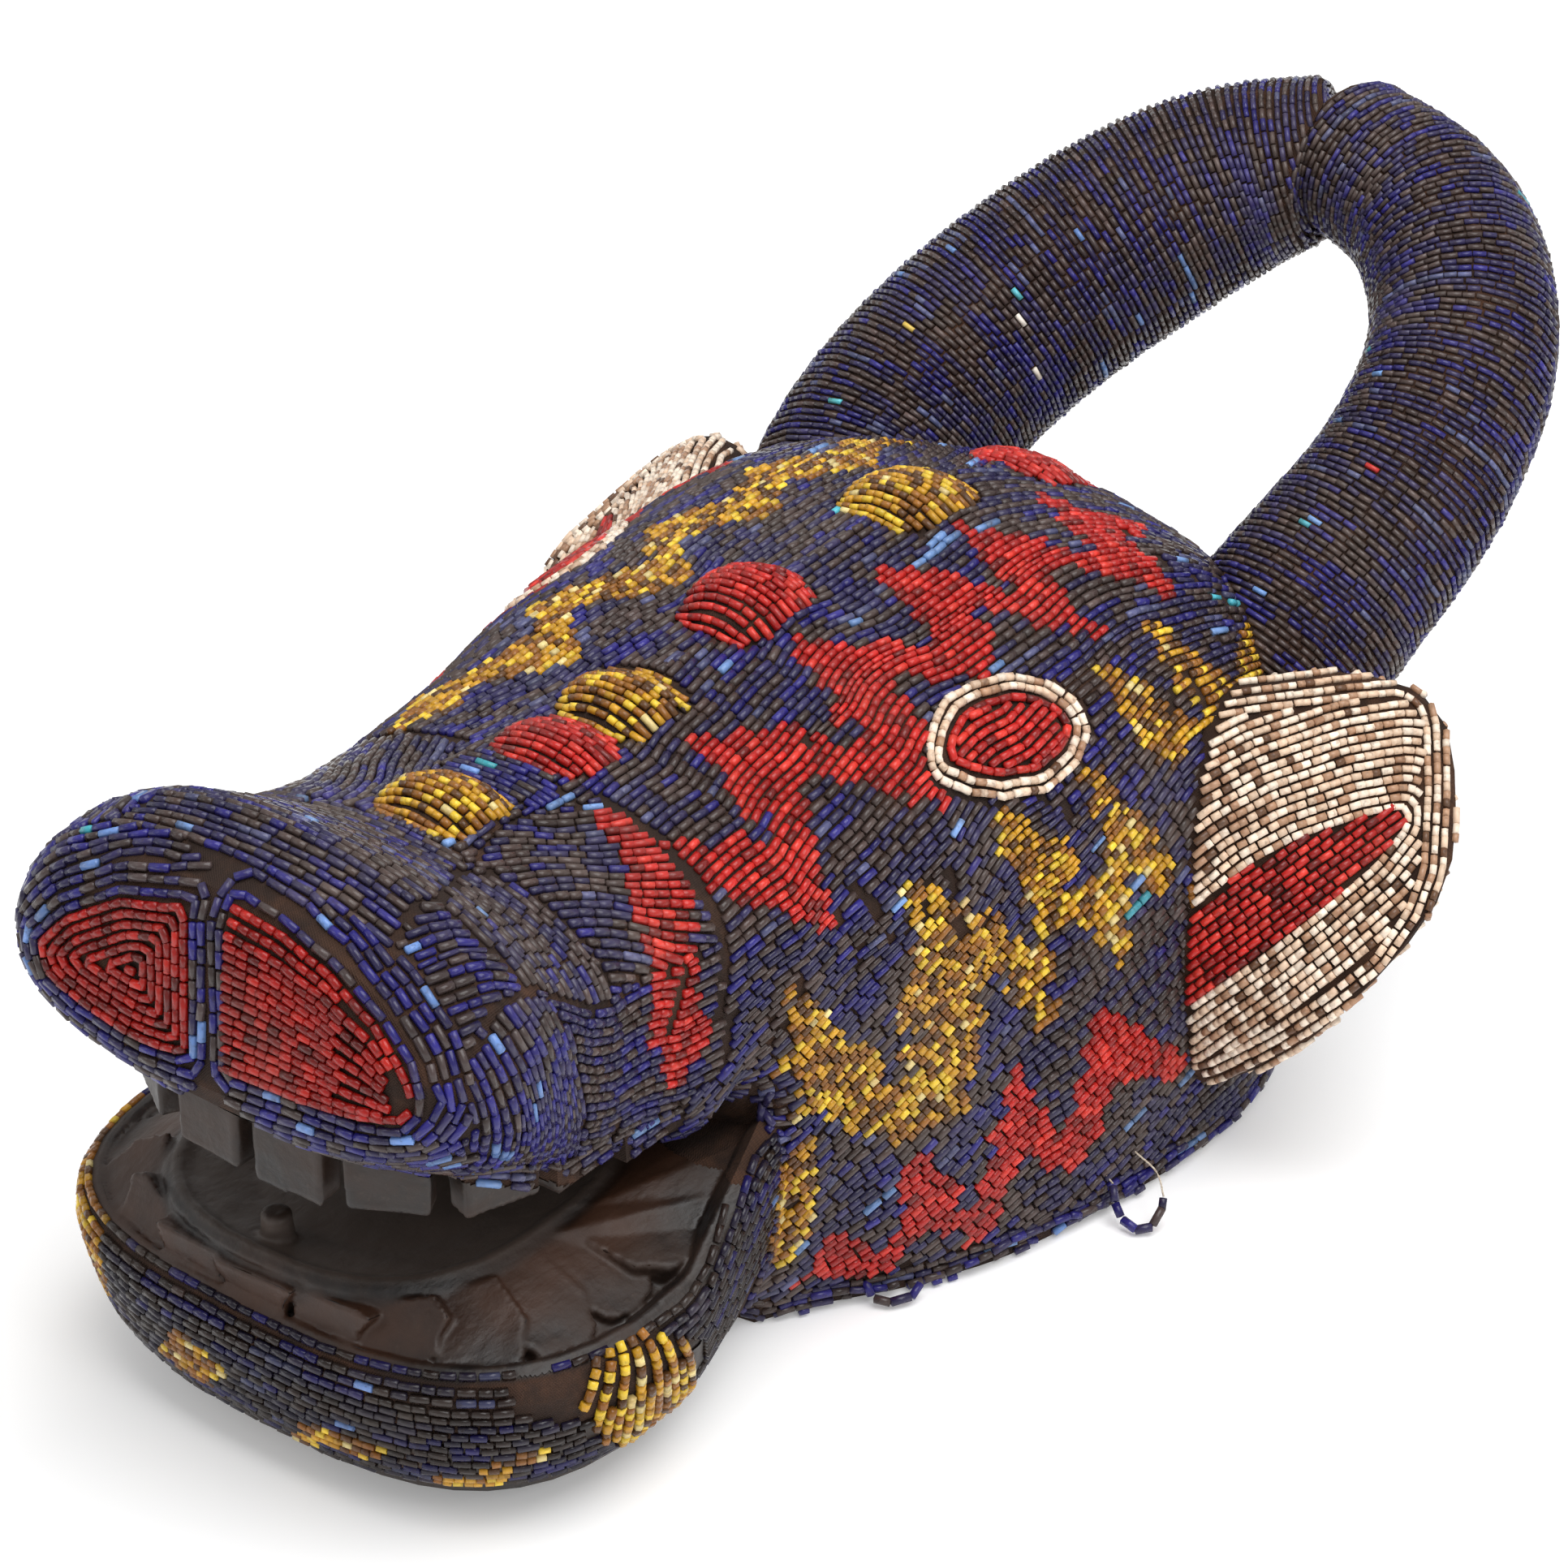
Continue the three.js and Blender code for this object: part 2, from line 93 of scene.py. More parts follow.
def makeStudio(plan):
    scene = bpy.context.scene
    scene.view_settings.view_transform = "Standard"
    world = bpy.data.worlds.new("studio")
    world.use_nodes = True
    sky = world.node_tree.nodes["Background"]
    sky.inputs["Color"].default_value = (*plan["ambientColour"], 1)
    sky.inputs["Strength"].default_value = plan["ambient"]
    scene.world = world
    for number, (place, aim, size, watts) in enumerate(plan["lamps"]):
        lamp = bpy.data.lights.new(f"softbox{number + 1}", "AREA")
        lamp.shape = "SQUARE"
        lamp.size = size
        lamp.energy = watts
        holder = bpy.data.objects.new(lamp.name, lamp)
        holder.location = place
        holder.rotation_euler = (Vector(place) - Vector(aim)).to_track_quat("Z", "Y").to_euler()
        scene.collection.objects.link(holder)
    half = plan["floorSide"] / 2
    mesh = bpy.data.meshes.new("floor")
    corners = [(-half, -half, 0), (half, -half, 0), (half, half, 0), (-half, half, 0)]
    mesh.from_pydata(corners, [], [(0, 1, 2, 3)])
    floor = bpy.data.objects.new("floor", mesh)
    floor.location.z = -plan["floorDrop"]
    scene.collection.objects.link(floor)
    paper = bpy.data.materials.new("paleFloor")
    paper.use_nodes = True
    face = paper.node_tree.nodes["Principled BSDF"]
    tone = plan["floorTone"]
    face.inputs["Base Color"].default_value = (tone, tone, tone, 1)
    face.inputs["Roughness"].default_value = 0.9
    face.inputs["Specular IOR Level"].default_value = 0.1
    face.inputs["Emission Color"].default_value = (1, 1, 1, 1)
    face.inputs["Emission Strength"].default_value = plan["floorGlow"]
    mesh.materials.append(paper)


makeCamera(camera)
makeStudio(studio)
print("camera, floor and light")


# Shader maths: a wire is one socket, and sums on wires add nodes


class Wire:
    def __init__(self, paint, socket):
        self.paint = paint
        self.socket = socket

    def maths(self, operation, first, second=None):
        values = {0: first} if second is None else {0: first, 1: second}
        return self.paint.node("ShaderNodeMath", {"operation": operation}, values)

    def __add__(self, other):
        return self.maths("ADD", self, other)

    __radd__ = __add__

    def __sub__(self, other):
        return self.maths("SUBTRACT", self, other)

    def __rsub__(self, other):
        return self.maths("SUBTRACT", other, self)

    def __mul__(self, other):
        return self.maths("MULTIPLY", self, other)

    __rmul__ = __mul__

    def __truediv__(self, other):
        return self.maths("DIVIDE", self, other)

    def __pow__(self, other):
        return self.maths("POWER", self, other)

    def size(self):
        return self.maths("ABSOLUTE", self)

    def most(self, other):
        return self.maths("MAXIMUM", self, other)

    def wave(self):
        return self.maths("SINE", self)

    def step(self, low, high):  # 0 below low, 1 above high, smooth between
        settings = {"interpolation_type": "SMOOTHSTEP"}
        values = {"Value": self, "From Min": low, "From Max": high}
        return self.paint.node("ShaderNodeMapRange", settings, values)


class Paint:
    def __init__(self, name):
        self.material = bpy.data.materials.new(name)
        self.material.use_nodes = True
        self.tree = self.material.node_tree
        self.face = self.tree.nodes["Principled BSDF"]
        self.coords = self.node("ShaderNodeTexCoord", {}, {}, "Object")

    def node(self, kind, settings, values, output=0):
        made = self.tree.nodes.new(kind)
        for name, value in settings.items():
            setattr(made, name, value)
        for name, value in values.items():
            socket = self.socketNamed(made, name)
            if isinstance(value, Wire):
                self.tree.links.new(value.socket, socket)
            else:
                socket.default_value = value
        return Wire(self, self.socketNamed(made, output, made.outputs))

    def socketNamed(self, made, name, sockets=None):
        sockets = made.inputs if sockets is None else sockets
        if isinstance(name, int):
            return sockets[name]
        return next(socket for socket in sockets if socket.name == name and socket.enabled)

    def mix(self, share, first, second, blend="MIX"):
        settings = {"data_type": "RGBA", "blend_type": blend, "clamp_factor": True}
        first = first if isinstance(first, Wire) else (*first, 1)
        second = second if isinstance(second, Wire) else (*second, 1)
        values = {0: share, 6: first, 7: second}  # the sockets that take colours
        return self.node("ShaderNodeMix", settings, values, 2)

    def grain(self, scale, detail=2.0, roughness=0.5, stretch=(1, 1, 1), offset=(0, 0, 0)):
        values = {"Vector": self.coords, "Location": offset, "Scale": stretch}
        placed = self.node("ShaderNodeMapping", {}, values)
        values = {"Vector": placed, "Scale": scale, "Detail": detail, "Roughness": roughness}
        return self.node("ShaderNodeTexNoise", {}, values)

    def cells(self, scale, stretch=(1, 1, 1)):
        placed = self.node("ShaderNodeMapping", {}, {"Vector": self.coords, "Scale": stretch})
        return self.node("ShaderNodeTexVoronoi", {}, {"Vector": placed, "Scale": scale})

    def place(self):
        parts = self.node("ShaderNodeSeparateXYZ", {}, {0: self.coords}).socket.node
        return [Wire(self, socket) for socket in parts.outputs]

    def surface(self, colour, roughness, height, depth, strength, **fixed):
        for name, value in {"Base Color": colour, "Roughness": roughness}.items():
            if isinstance(value, Wire):
                self.tree.links.new(value.socket, self.face.inputs[name])
            else:
                self.face.inputs[name].default_value = value
        bump = self.node("ShaderNodeBump", {}, {"Height": height, "Distance": depth, "Strength": strength})
        self.tree.links.new(bump.socket, self.face.inputs["Normal"])
        for name, value in fixed.items():
            self.face.inputs[name.replace("_", " ")].default_value = value
        return self.material


def paintBeads():
    paint = Paint("glassBeads")
    glass = paint.node("ShaderNodeAttribute", {"attribute_name": "beadColour"}, {}, "Color")
    grime = paint.grain(420, 3, 0.6).step(0.52, 0.72)
    dust = paint.grain(16, 3, 0.6).step(0.45, 0.75)
    colour = paint.mix(grime * 0.42, glass, tint(46, 34, 27))
    colour = paint.mix(dust * 0.10, colour, tint(150, 138, 126))
    patina = paint.grain(150, 3, 0.6).step(0.5, 0.7)
    colour = paint.mix(patina * 0.45, colour, tint(204, 172, 148), "MULTIPLY")
    rough = 0.22 + grime * 0.35 + dust * 0.12
    height = paint.grain(1300, 2, 0.5)
    return paint.surface(colour, rough, height, 0.0001, 0.25, Specular_IOR_Level=0.38)


def paintCloth():
    paint = Paint("brownCloth")
    colour, rough, height = clothLook(paint)
    return paint.surface(colour, rough, height, 0.0006, 0.8, Specular_IOR_Level=0.15)


def clothLook(paint):
    x, y, z = paint.place()
    threads = 2 * math.pi / 0.0011
    warp = ((x + y * 0.35 + paint.grain(90) * 0.002) * threads).wave()
    weft = ((z + y * 0.25 + paint.grain(80, offset=(0.3, 0, 0)) * 0.002) * threads).wave()
    weave = (warp * weft) * 0.5 + 0.5
    worn = paint.grain(34, 4, 0.65).step(0.42, 0.68)
    colour = paint.mix(worn, tint(46, 32, 25), tint(80, 55, 41))
    colour = paint.mix(weave * 0.4, colour, tint(34, 23, 18))
    fuzz = paint.grain(1500, 3, 0.7)
    return colour, 0.85 + worn * 0.1, weave * 0.6 + fuzz * 0.7


def woodLook(paint):
    fibres = paint.grain(46, 5, 0.6, stretch=(3.2, 0.6, 3.2))
    cuts = paint.cells(46, stretch=(1, 0.55, 1))
    pits = paint.grain(380, 3, 0.6)
    soot = paint.grain(21, 4, 0.6).step(0.40, 0.66)
    colour = paint.mix(fibres.step(0.35, 0.7), tint(20, 14, 12), tint(37, 28, 23))
    colour = paint.mix(soot * 0.7, colour, tint(56, 37, 26))
    colour = paint.mix(pits.step(0.55, 0.75) * 0.4, colour, tint(68, 56, 47))
    rough = 0.36 + fibres * 0.22 + soot * 0.12
    return colour, rough, fibres * 0.7 + cuts * 0.5 + pits * 0.35


def paintWood(tongue):
    paint = Paint("smokedWood")
    colour, rough, height = woodLook(paint)
    x, y, z = paint.place()
    side = ((x - tongue["middle"][0] * mm) / (tongue["half"] * mm)).size() ** tongue["power"]
    fore = ((y - tongue["middle"][1] * mm) / (-tongue["front"] * mm)).most(0.0) ** tongue["power"]
    back = ((y - tongue["middle"][1] * mm) / (tongue["rear"] * mm)).most(0.0) ** tongue["power"]
    ring = side + fore + back
    low = 1 - z.step((tongue["top"] - 3) * mm, (tongue["top"] + 3) * mm)
    blotch = paint.grain(30, 3, 0.6).step(0.3, 0.7)
    gutter = ring.step(1.0, 1.14) * (1 - ring.step(1.5, 2.2)) * low
    # The tongue plate is painted lighter than the rest of the wood: painted light where the upper jaw shades
    # it
    colour = paint.mix((1 - ring.step(0.82, 0.98)) * low * 0.85, colour, tint(94, 82, 75))
    colour = paint.mix(gutter * (0.35 + blotch * 0.45), colour, tint(74, 46, 30))
    # The edge measure is above 0 on carved edges and below 0 in notches and hollows
    worn = paint.node("ShaderNodeAttribute", {"attribute_name": "edgeWearAndHollowShade"}, {}, "Fac")
    # Carved edges are painted lighter: partly rubbed wear, partly a painted highlight where the rims catch
    # the light
    wearAndHighlight = worn.step(0.5, 1.3) * paint.grain(120, 3, 0.6).step(0.3, 0.6)
    # Notches and hollows are painted darker: painted shade
    deep = (0 - worn).step(0.3, 1.1)
    colour = paint.mix(wearAndHighlight * 0.6, colour, tint(92, 82, 74))
    colour = paint.mix(deep * 0.5, colour, tint(18, 14, 12))
    return paint.surface(colour, rough - wearAndHighlight * 0.1, height, 0.0009, 0.6, Specular_IOR_Level=0.5)


def paintCarving(hollow, mouth):  # cloth outside, bare wood in the mouth and in the hollow
    paint = Paint("clothOnCarving")
    x, y, z = paint.place()
    across = (x / (hollow["half"] * mm)).size() ** hollow["power"]
    along = ((y - hollow["middle"] * mm) / (hollow["length"] * mm)).size() ** hollow["power"]
    up = (z / (hollow["height"] * mm)).size() ** hollow["power"]
    bare = 1 - (across + along + up).step(0.97, 1.03)
    side = ((x - mouth["middle"][0] * mm) / (mouth["half"] * mm)).size() ** mouth["power"]
    reach = z.step((mouth["toothZ"] - 2) * mm, (mouth["toothZ"] + 2) * mm) * mouth["overbite"] + 1
    fore = ((y - mouth["middle"][1] * mm) / (-mouth["front"] * mm) / reach).most(0.0) ** mouth["power"]
    back = ((y - mouth["middle"][1] * mm) / (mouth["rear"] * mm)).most(0.0) ** mouth["power"]
    within = 1 - (side + fore + back).step(0.97, 1.03)
    lip = (mouth["lipY"] * mm - y) * mouth["lipSlope"] + mouth["lipZ"] * mm
    bare = bare.most(within * (lip - z).step(-0.001, 0.001))
    cloth, clothRough, clothHeight = clothLook(paint)
    wood, woodRough, woodHeight = woodLook(paint)
    colour = paint.mix(bare, cloth, wood)
    rough = clothRough * (1 - bare) + woodRough * bare
    height = clothHeight * (1 - bare) + woodHeight * bare
    return paint.surface(colour, rough, height, 0.0008, 0.7, Specular_IOR_Level=0.3)


def paintThread():
    paint = Paint("cottonThread")
    twist = paint.grain(900, 3, 0.6, stretch=(1, 1, 2))
    colour = paint.mix(twist.step(0.35, 0.7), tint(176, 160, 140), tint(222, 212, 196))
    return paint.surface(colour, 0.9, twist, 0.0002, 0.6)


hollowLook = {"half": 112, "middle": 20, "length": 122, "height": 222, "power": 4}
beadPaint = paintBeads()
clothPaint = paintCloth()
tongueLook = {"middle": (-14, -252.8), "half": 74, "front": 74, "rear": 90, "power": 2.5, "top": 96}
woodPaint = paintWood(tongueLook)
mouthLook = {
    "middle": (-11, -228.8), "half": 119, "front": 106, "rear": 66, "power": 3,  # the mouth seen from above
    "lipY": -194, "lipZ": 92, "lipSlope": 0.472,  # the line of the upper lip
    "toothZ": 88, "overbite": 0.09,  # above this height the mouth reaches further, for the upper teeth
}
carvingPaint = paintCarving(hollowLook, mouthLook)
threadPaint = paintThread()


def dress(node, material):
    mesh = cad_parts[node].data
    if not mesh.materials:
        mesh.materials.append(material)
    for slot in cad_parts[node].material_slots:
        slot.material = material


dress("carved_head", carvingPaint)
for node in ("left_horn", "right_horn", "left_ear", "right_ear"):
    dress(node, clothPaint)
print("cloth, wood, glass and thread")


# Skins: the outside of the carving, read by casting lines onto it


class Skin:
    def __init__(self, *nodes):
        points, faces = [], []
        for node in nodes:
            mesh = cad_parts[node].data
            first = len(points)
            points += [vertex.co / mm for vertex in mesh.vertices]
            faces += [[first + corner for corner in face.vertices] for face in mesh.polygons]
        self.tree = BVHTree.FromPolygons(points, faces)

    def hit(self, start, way, reach):
        place, normal, _, _ = self.tree.ray_cast(Vector(start), Vector(way).normalized(), reach)
        return place, normal

    def gap(self, place):
        return self.tree.find_nearest(place)[3]


def castOnto(skin, rays, kept, reach=600.0, blank=(0, 0, 1)):  # where rays meet a skin, if the place is kept
    points, normals = [], []
    for start, way in rays:
        place, normal = skin.hit(start, way, reach)
        seen = place is not None and kept(place, normal)
        points.append(place if seen else (math.nan,) * 3)
        normals.append(normal if seen else blank)
    return np.array(points), np.array(normals)


def arcLengths(line):  # how far along a line each of its points lies
    return np.concatenate([[0], np.cumsum(np.linalg.norm(np.diff(line, axis=0), axis=1))])


def readLine(at, along, line):  # points at other distances along a line
    return np.stack([np.interp(at, along, line[:, axis]) for axis in range(3)], 1)


headSkin = Skin("carved_head")


# A net is a grid of points on a skin, with u along it and v across it


class Net:
    def __init__(self, us, vs, points, normals):
        self.us, self.vs, self.points, self.normals = us, vs, points, normals

    def at(self, u, v):
        u, v = np.broadcast_arrays(np.asarray(u, float), np.asarray(v, float))
        i = np.clip(np.searchsorted(self.us, u) - 1, 0, len(self.us) - 2)
        k = np.clip(np.searchsorted(self.vs, v) - 1, 0, len(self.vs) - 2)
        s = ((u - self.us[i]) / (self.us[i + 1] - self.us[i]))[..., None]
        t = ((v - self.vs[k]) / (self.vs[k + 1] - self.vs[k]))[..., None]
        found = []
        for grid in (self.points, self.normals):
            low = grid[i, k] * (1 - t) + grid[i, k + 1] * t
            high = grid[i + 1, k] * (1 - t) + grid[i + 1, k + 1] * t
            found.append(low * (1 - s) + high * s)
        away = (u < self.us[0]) | (u > self.us[-1]) | (v < self.vs[0]) | (v > self.vs[-1])
        found[0][away] = np.nan
        return found


headNet = {
    "fromY": -352.0, "toY": 156.0, "step": 3.0,  # sections along the head
    "middleZ": 150.0, "castFrom": 300.0,  # the line that the casts aim at, and how far from it they start
    "degrees": 0.5, "lowest": -74.0,  # between two casts, and where the last one is
    "cheekY": -165.0, "jump": 14.0, "cheekJump": 42.0,  # a longer step is an edge, before and behind cheekY
    "facesDown": -0.85, "climb": 3.0,  # a section also ends where the skin turns under or climbs again
    "reach": 340.0, "pitch": 2.0,  # v, on each side of the ridge
    "lip": [(-353, 180), (-348, 171), (-336, 161), (-316, 150), (-292, 138), (-266, 124), (-234, 109),
            (-194, 93), (-172, 84), (-171, -10)],  # how low the upper lip reaches, by y
    "lipGap": 0.5,
}


def sectionOf(y, side, plan):  # from the ridge down one side
    points, normals = [], []
    lip = np.interp(y, *zip(*plan["lip"])) - plan["lipGap"]
    longest = plan["jump"] if y < plan["cheekY"] else plan["cheekJump"]

    def isEnd(place, normal, degrees):
        if place is None or place.z < lip:
            return True
        if not points:
            return False
        if degrees < 0 and (normal.z < plan["facesDown"] or place.z > points[-1].z + plan["climb"]):
            return True
        return (place - points[-1]).length > longest

    for degrees in np.arange(90, plan["lowest"], -plan["degrees"]):
        turn = math.radians(degrees)
        way = Vector((side * math.cos(turn), 0, math.sin(turn)))
        start = Vector((0, y, plan["middleZ"])) + way * plan["castFrom"]
        place, normal = headSkin.hit(start, -way, plan["castFrom"])
        if not isEnd(place, normal, degrees):
            points.append(place)
            normals.append(normal)
        elif points:
            break
    return np.array(points), np.array(normals)


def weaveHeadNet(plan):
    us = np.arange(plan["fromY"], plan["toY"] + 0.1, plan["step"])
    vs = np.arange(-plan["reach"], plan["reach"] + 0.1, plan["pitch"])
    points = np.full((len(us), len(vs), 3), np.nan)
    normals = np.full((len(us), len(vs), 3), np.nan)
    reach = np.zeros((2, len(us)))
    for i, y in enumerate(us):
        for side in (1, -1):
            line, faces = sectionOf(y, side, plan)
            if len(line) < 4:
                continue
            arc = arcLengths(line)
            reach[(1 - side) // 2, i] = arc[-1]
            chosen = (vs * side >= 0) & (np.abs(vs) <= arc[-1])
            points[i, chosen] = readLine(np.abs(vs[chosen]), arc, line)
            normals[i, chosen] = readLine(np.abs(vs[chosen]), arc, faces)
    return Net(us, vs, points, normals), reach


head, headReach = weaveHeadNet(headNet)


def rimAt(u, side):  # how far down the lip or the rim lies
    return np.interp(u, head.us, headReach[(1 - side) // 2])


def photoSpots(points):  # where points on the mask stand in the photo
    back = towardsCamera(camera["turn"], camera["rise"])
    right = Vector((0, 0, 1)).cross(back).normalized()
    away = points * mm - np.array(Vector(camera["target"]) + back * camera["distance"])
    scale = camera["lens"] / camera["film"] * camera["frame"] / -(away @ np.array(back))
    x, y = away @ np.array(right) * scale, away @ np.array(back.cross(right)) * scale
    return camera["frame"] / 2 + x, camera["frame"] / 2 - y


def headSpot(x, y):  # the (u, v) on the near side that stands at a spot in the photo
    across, down = photoSpots(head.points)
    distance = np.hypot(across - x, down - y)
    distance[:, head.vs < 0] = math.inf
    i, k = np.unravel_index(np.nanargmin(distance), distance.shape)
    return head.us[i], head.vs[k]


# Glass: how each kind of bead looks. A tone is a colour and its weight, and length is from and to. Jitter is
# how far the shade strays, and runs is how often a bead repeats the tone of the one before it


glass = {
    "indigo": {
        "tones": [((70, 57, 54), 5.4), ((47, 43, 78), 4.8), ((42, 38, 108), 1.7), ((80, 82, 116), 0.5),
                  ((108, 140, 190), 0.17), ((70, 160, 176), 0.025)],
        "length": (5.0, 8.8), "jitter": 0.20, "runs": 0.35,
    },
    "cobalt": {
        "tones": [((42, 38, 110), 4.0), ((47, 42, 78), 4.4), ((66, 55, 54), 2.6), ((100, 132, 188), 0.28),
                  ((66, 166, 180), 0.06)],
        "length": (5.5, 9.5), "jitter": 0.18,
    },
    "slate": {
        "tones": [((70, 58, 56), 6), ((50, 46, 76), 4.4), ((46, 42, 106), 0.8), ((96, 124, 166), 0.12)],
        "length": (4.6, 8.0), "jitter": 0.18, "runs": 0.35,
    },
    "red": {
        "tones": [((184, 38, 34), 5), ((156, 30, 28), 3), ((204, 54, 44), 1.8), ((114, 28, 26), 1.0)],
        "length": (4.4, 6.4), "jitter": 0.13,
    },
    "yellow": {
        "tones": [((196, 146, 38), 4), ((228, 192, 58), 2.2), ((142, 92, 35), 4.6), ((220, 200, 136), 0.7),
                  ((92, 61, 34), 2.9)],
        "length": (3.0, 4.6), "jitter": 0.14,
    },
    "cream": {
        "tones": [((244, 226, 206), 4.6), ((222, 194, 168), 3.4), ((174, 136, 108), 2.0),
                  ((104, 74, 54), 0.8)],
        "length": (3.0, 4.8), "jitter": 0.08,
    },
    # The red tones painted darker for the nostrils on the front of the nose: painted shade on faces turned
    # from the overhead lamp
    "nostril": {
        "tones": [((152, 24, 20), 5), ((124, 19, 16), 3.2), ((174, 34, 26), 1.4), ((90, 20, 18), 1)],
        "length": (4.2, 6.2), "jitter": 0.13,
    },
    "ring": {
        "tones": [((72, 59, 56), 4.6), ((50, 45, 80), 4.8), ((43, 39, 106), 2.2), ((80, 84, 118), 0.4),
                  ((100, 132, 184), 0.08), ((70, 160, 176), 0.02)],
        "length": (4.6, 6.6), "jitter": 0.2, "runs": 0.5,
    },
    # The indigo tones painted darker for the lower jaw: painted shade where the jaw faces forward and down,
    # away from the overhead lamp
    "shadedIndigo": {
        "tones": [((40, 30, 27), 6), ((30, 25, 42), 4.8), ((28, 24, 76), 2.2), ((54, 56, 84), 0.4),
                  ((90, 118, 170), 0.16)],
        "length": (5.0, 8.6), "jitter": 0.2, "runs": 0.4,
    },
}
glassNames = list(glass)
indigo, cobalt, slate, red, yellow, cream, nostril, ring, shadedIndigo = range(len(glassNames))
bare = -1

for family in glass.values():
    family["colours"] = [tint(*tone) for tone, _ in family["tones"]]
    family["weights"] = [weight for _, weight in family["tones"]]


sewing = {  # along a string
    "start": 0.6,  # the first bead starts within this
    "shortest": 3,  # a shorter rest goes to the last bead
    "liftStray": 0.12, "turnStray": 0.03,
    "gap": (1.0, 1.04),  # from bead to bead, as a share of the bead's length
}


class Strings:  # the beads of one piece, in the order that they were sewn
    def __init__(self, name, seed, pitch=3.6, lift=0.7, fill=(0.82, 0.93)):
        self.name, self.pitch, self.lift, self.fill = name, pitch, lift, fill
        self.random = random.Random(seed)
        self.places, self.ways, self.sizes, self.colours = [], [], [], []
        self.last = (None, None)  # the last bead's kind and colour

    def bead(self, place, way, length, width, kind):
        family = glass[glassNames[kind]]
        colour = self.random.choices(family["colours"], family["weights"])[0]
        if self.last[0] == kind and self.random.random() < family.get("runs", 0):
            colour = self.last[1]
        self.last = (kind, colour)
        shade = math.exp(self.random.gauss(0, family["jitter"]))
        self.places.append(place)
        self.ways.append(way)
        self.sizes.append((width, width, length))
        self.colours.append([channel * shade for channel in colour] + [1.0])

    def sew(self, points, normals, kinds, pitch=None, lift=None):
        pitches = np.broadcast_to(self.pitch if pitch is None else pitch, (len(points),))
        lift = self.lift if lift is None else lift
        good = ~np.isnan(points).any(axis=1)
        edges = np.flatnonzero(np.diff(np.concatenate([[0], good.astype(int), [0]])))
        for start, end in zip(edges[::2], edges[1::2]):
            if end - start > 2:
                run = slice(start, end)
                self.sewRun(points[run], normals[run], kinds[run], pitches[run], lift)

    def sewRun(self, points, normals, kinds, pitches, lift):
        chance = self.random
        along = arcLengths(points)
        ticks = np.arange(0, along[-1], 1.0)  # one a millimetre, so that a tick's number is its distance
        if len(ticks) < 3:
            return
        line, face = readLine(ticks, along, points), readLine(ticks, along, normals)
        kind = kinds[np.clip(np.searchsorted(along, ticks), 0, len(kinds) - 1)].tolist()
        room = np.interp(ticks, along, pitches)
        last = len(ticks) - 1
        at = chance.uniform(0, sewing["start"])
        while at < last:
            own = kind[int(at)]
            if own == bare:
                at += 1.0
                continue
            length = chance.uniform(*glass[glassNames[own]]["length"])
            middle = min(last, int(at + length / 2))
            if kind[middle] != own:
                own = kind[middle]
                if own == bare:
                    at += 1.0
                    continue
                length = chance.uniform(*glass[glassNames[own]]["length"])
            begin, end = int(at), min(last, int(at + length + 0.5))
            if last - end < sewing["shortest"]:
                end = last
            if end - begin < 2:
                break
            if end == last:
                length = end - begin + 1.0
            middle = (begin + end) // 2
            way = line[end] - line[begin]
            size = math.sqrt(way @ way)
            out = face[middle]
            centre = (line[begin] + line[end]) / 2 + out * (lift + chance.gauss(0, sewing["liftStray"]))
            way = way / max(size, 1e-6) + np.array([chance.gauss(0, sewing["turnStray"]) for _ in range(3)])
            width = float(room[middle]) * chance.uniform(*self.fill)
            self.bead(centre, way, length, width, own)
            at += length * chance.uniform(*sewing["gap"])

    def recolour(self, place, colour):  # the bead nearest to a place
        nearest = np.argmin(np.linalg.norm(np.array(self.places) - place, axis=1))
        self.colours[nearest] = [*tint(*colour), 1.0]


def inside(u, v, outline):  # which points lie in a closed outline
    outline = np.asarray(outline, float)
    found = np.zeros(np.shape(u), bool)
    for (u0, v0), (u1, v1) in zip(outline, np.roll(outline, -1, axis=0)):
        crosses = (v0 > v) != (v1 > v)
        with np.errstate(divide="ignore", invalid="ignore"):
            found ^= crosses & (u < (u1 - u0) * (v - v0) / (v1 - v0) + u0)
    return found


def fibreLines(outline, degrees, pitch, step=1.5):  # straight strings across an outline, at an angle to u
    outline = np.asarray(outline, float)
    turn = math.radians(degrees)
    along, across = np.array([math.cos(turn), math.sin(turn)]), np.array([-math.sin(turn), math.cos(turn)])
    lengths, widths = outline @ along, outline @ across
    for offset in np.arange(widths.min() + pitch / 2, widths.max(), pitch):
        run = np.arange(lengths.min(), lengths.max(), step)
        yield run * along[0] + offset * across[0], run * along[1] + offset * across[1]


def curveThrough(corners, count):  # a smooth open line with even steps, and its length
    corners = np.asarray(corners, float)
    corners = np.concatenate([2 * corners[:1] - corners[1:2], corners, 2 * corners[-1:] - corners[-2:-1]])
    pieces = len(corners) - 3
    share = np.linspace(0, pieces, 40 * pieces + 1)
    i = np.minimum(share.astype(int), pieces - 1)
    t = (share - i)[:, None]
    a, b, c, d = (corners[i + shift] for shift in range(4))
    square, cube = 2 * a - 5 * b + 4 * c - d, 3 * b - a - 3 * c + d
    line = 0.5 * (2 * b + (c - a) * t + square * t ** 2 + cube * t ** 3)
    along = arcLengths(line)
    return readLine(np.linspace(0, along[-1], count), along, line), along[-1]


def distanceTo(p, q, outline):  # to the nearest edge, below 0 inside
    outline = np.asarray(outline, float)
    best = np.full(np.shape(p), 1e9)
    for a, b in zip(outline, np.roll(outline, -1, axis=0)):
        edge = b - a
        share = np.clip(((p - a[0]) * edge[0] + (q - a[1]) * edge[1]) / (edge @ edge), 0, 1)
        best = np.minimum(best, np.hypot(p - a[0] - share * edge[0], q - a[1] - share * edge[1]))
    return np.where(inside(p, q, outline), -best, best)


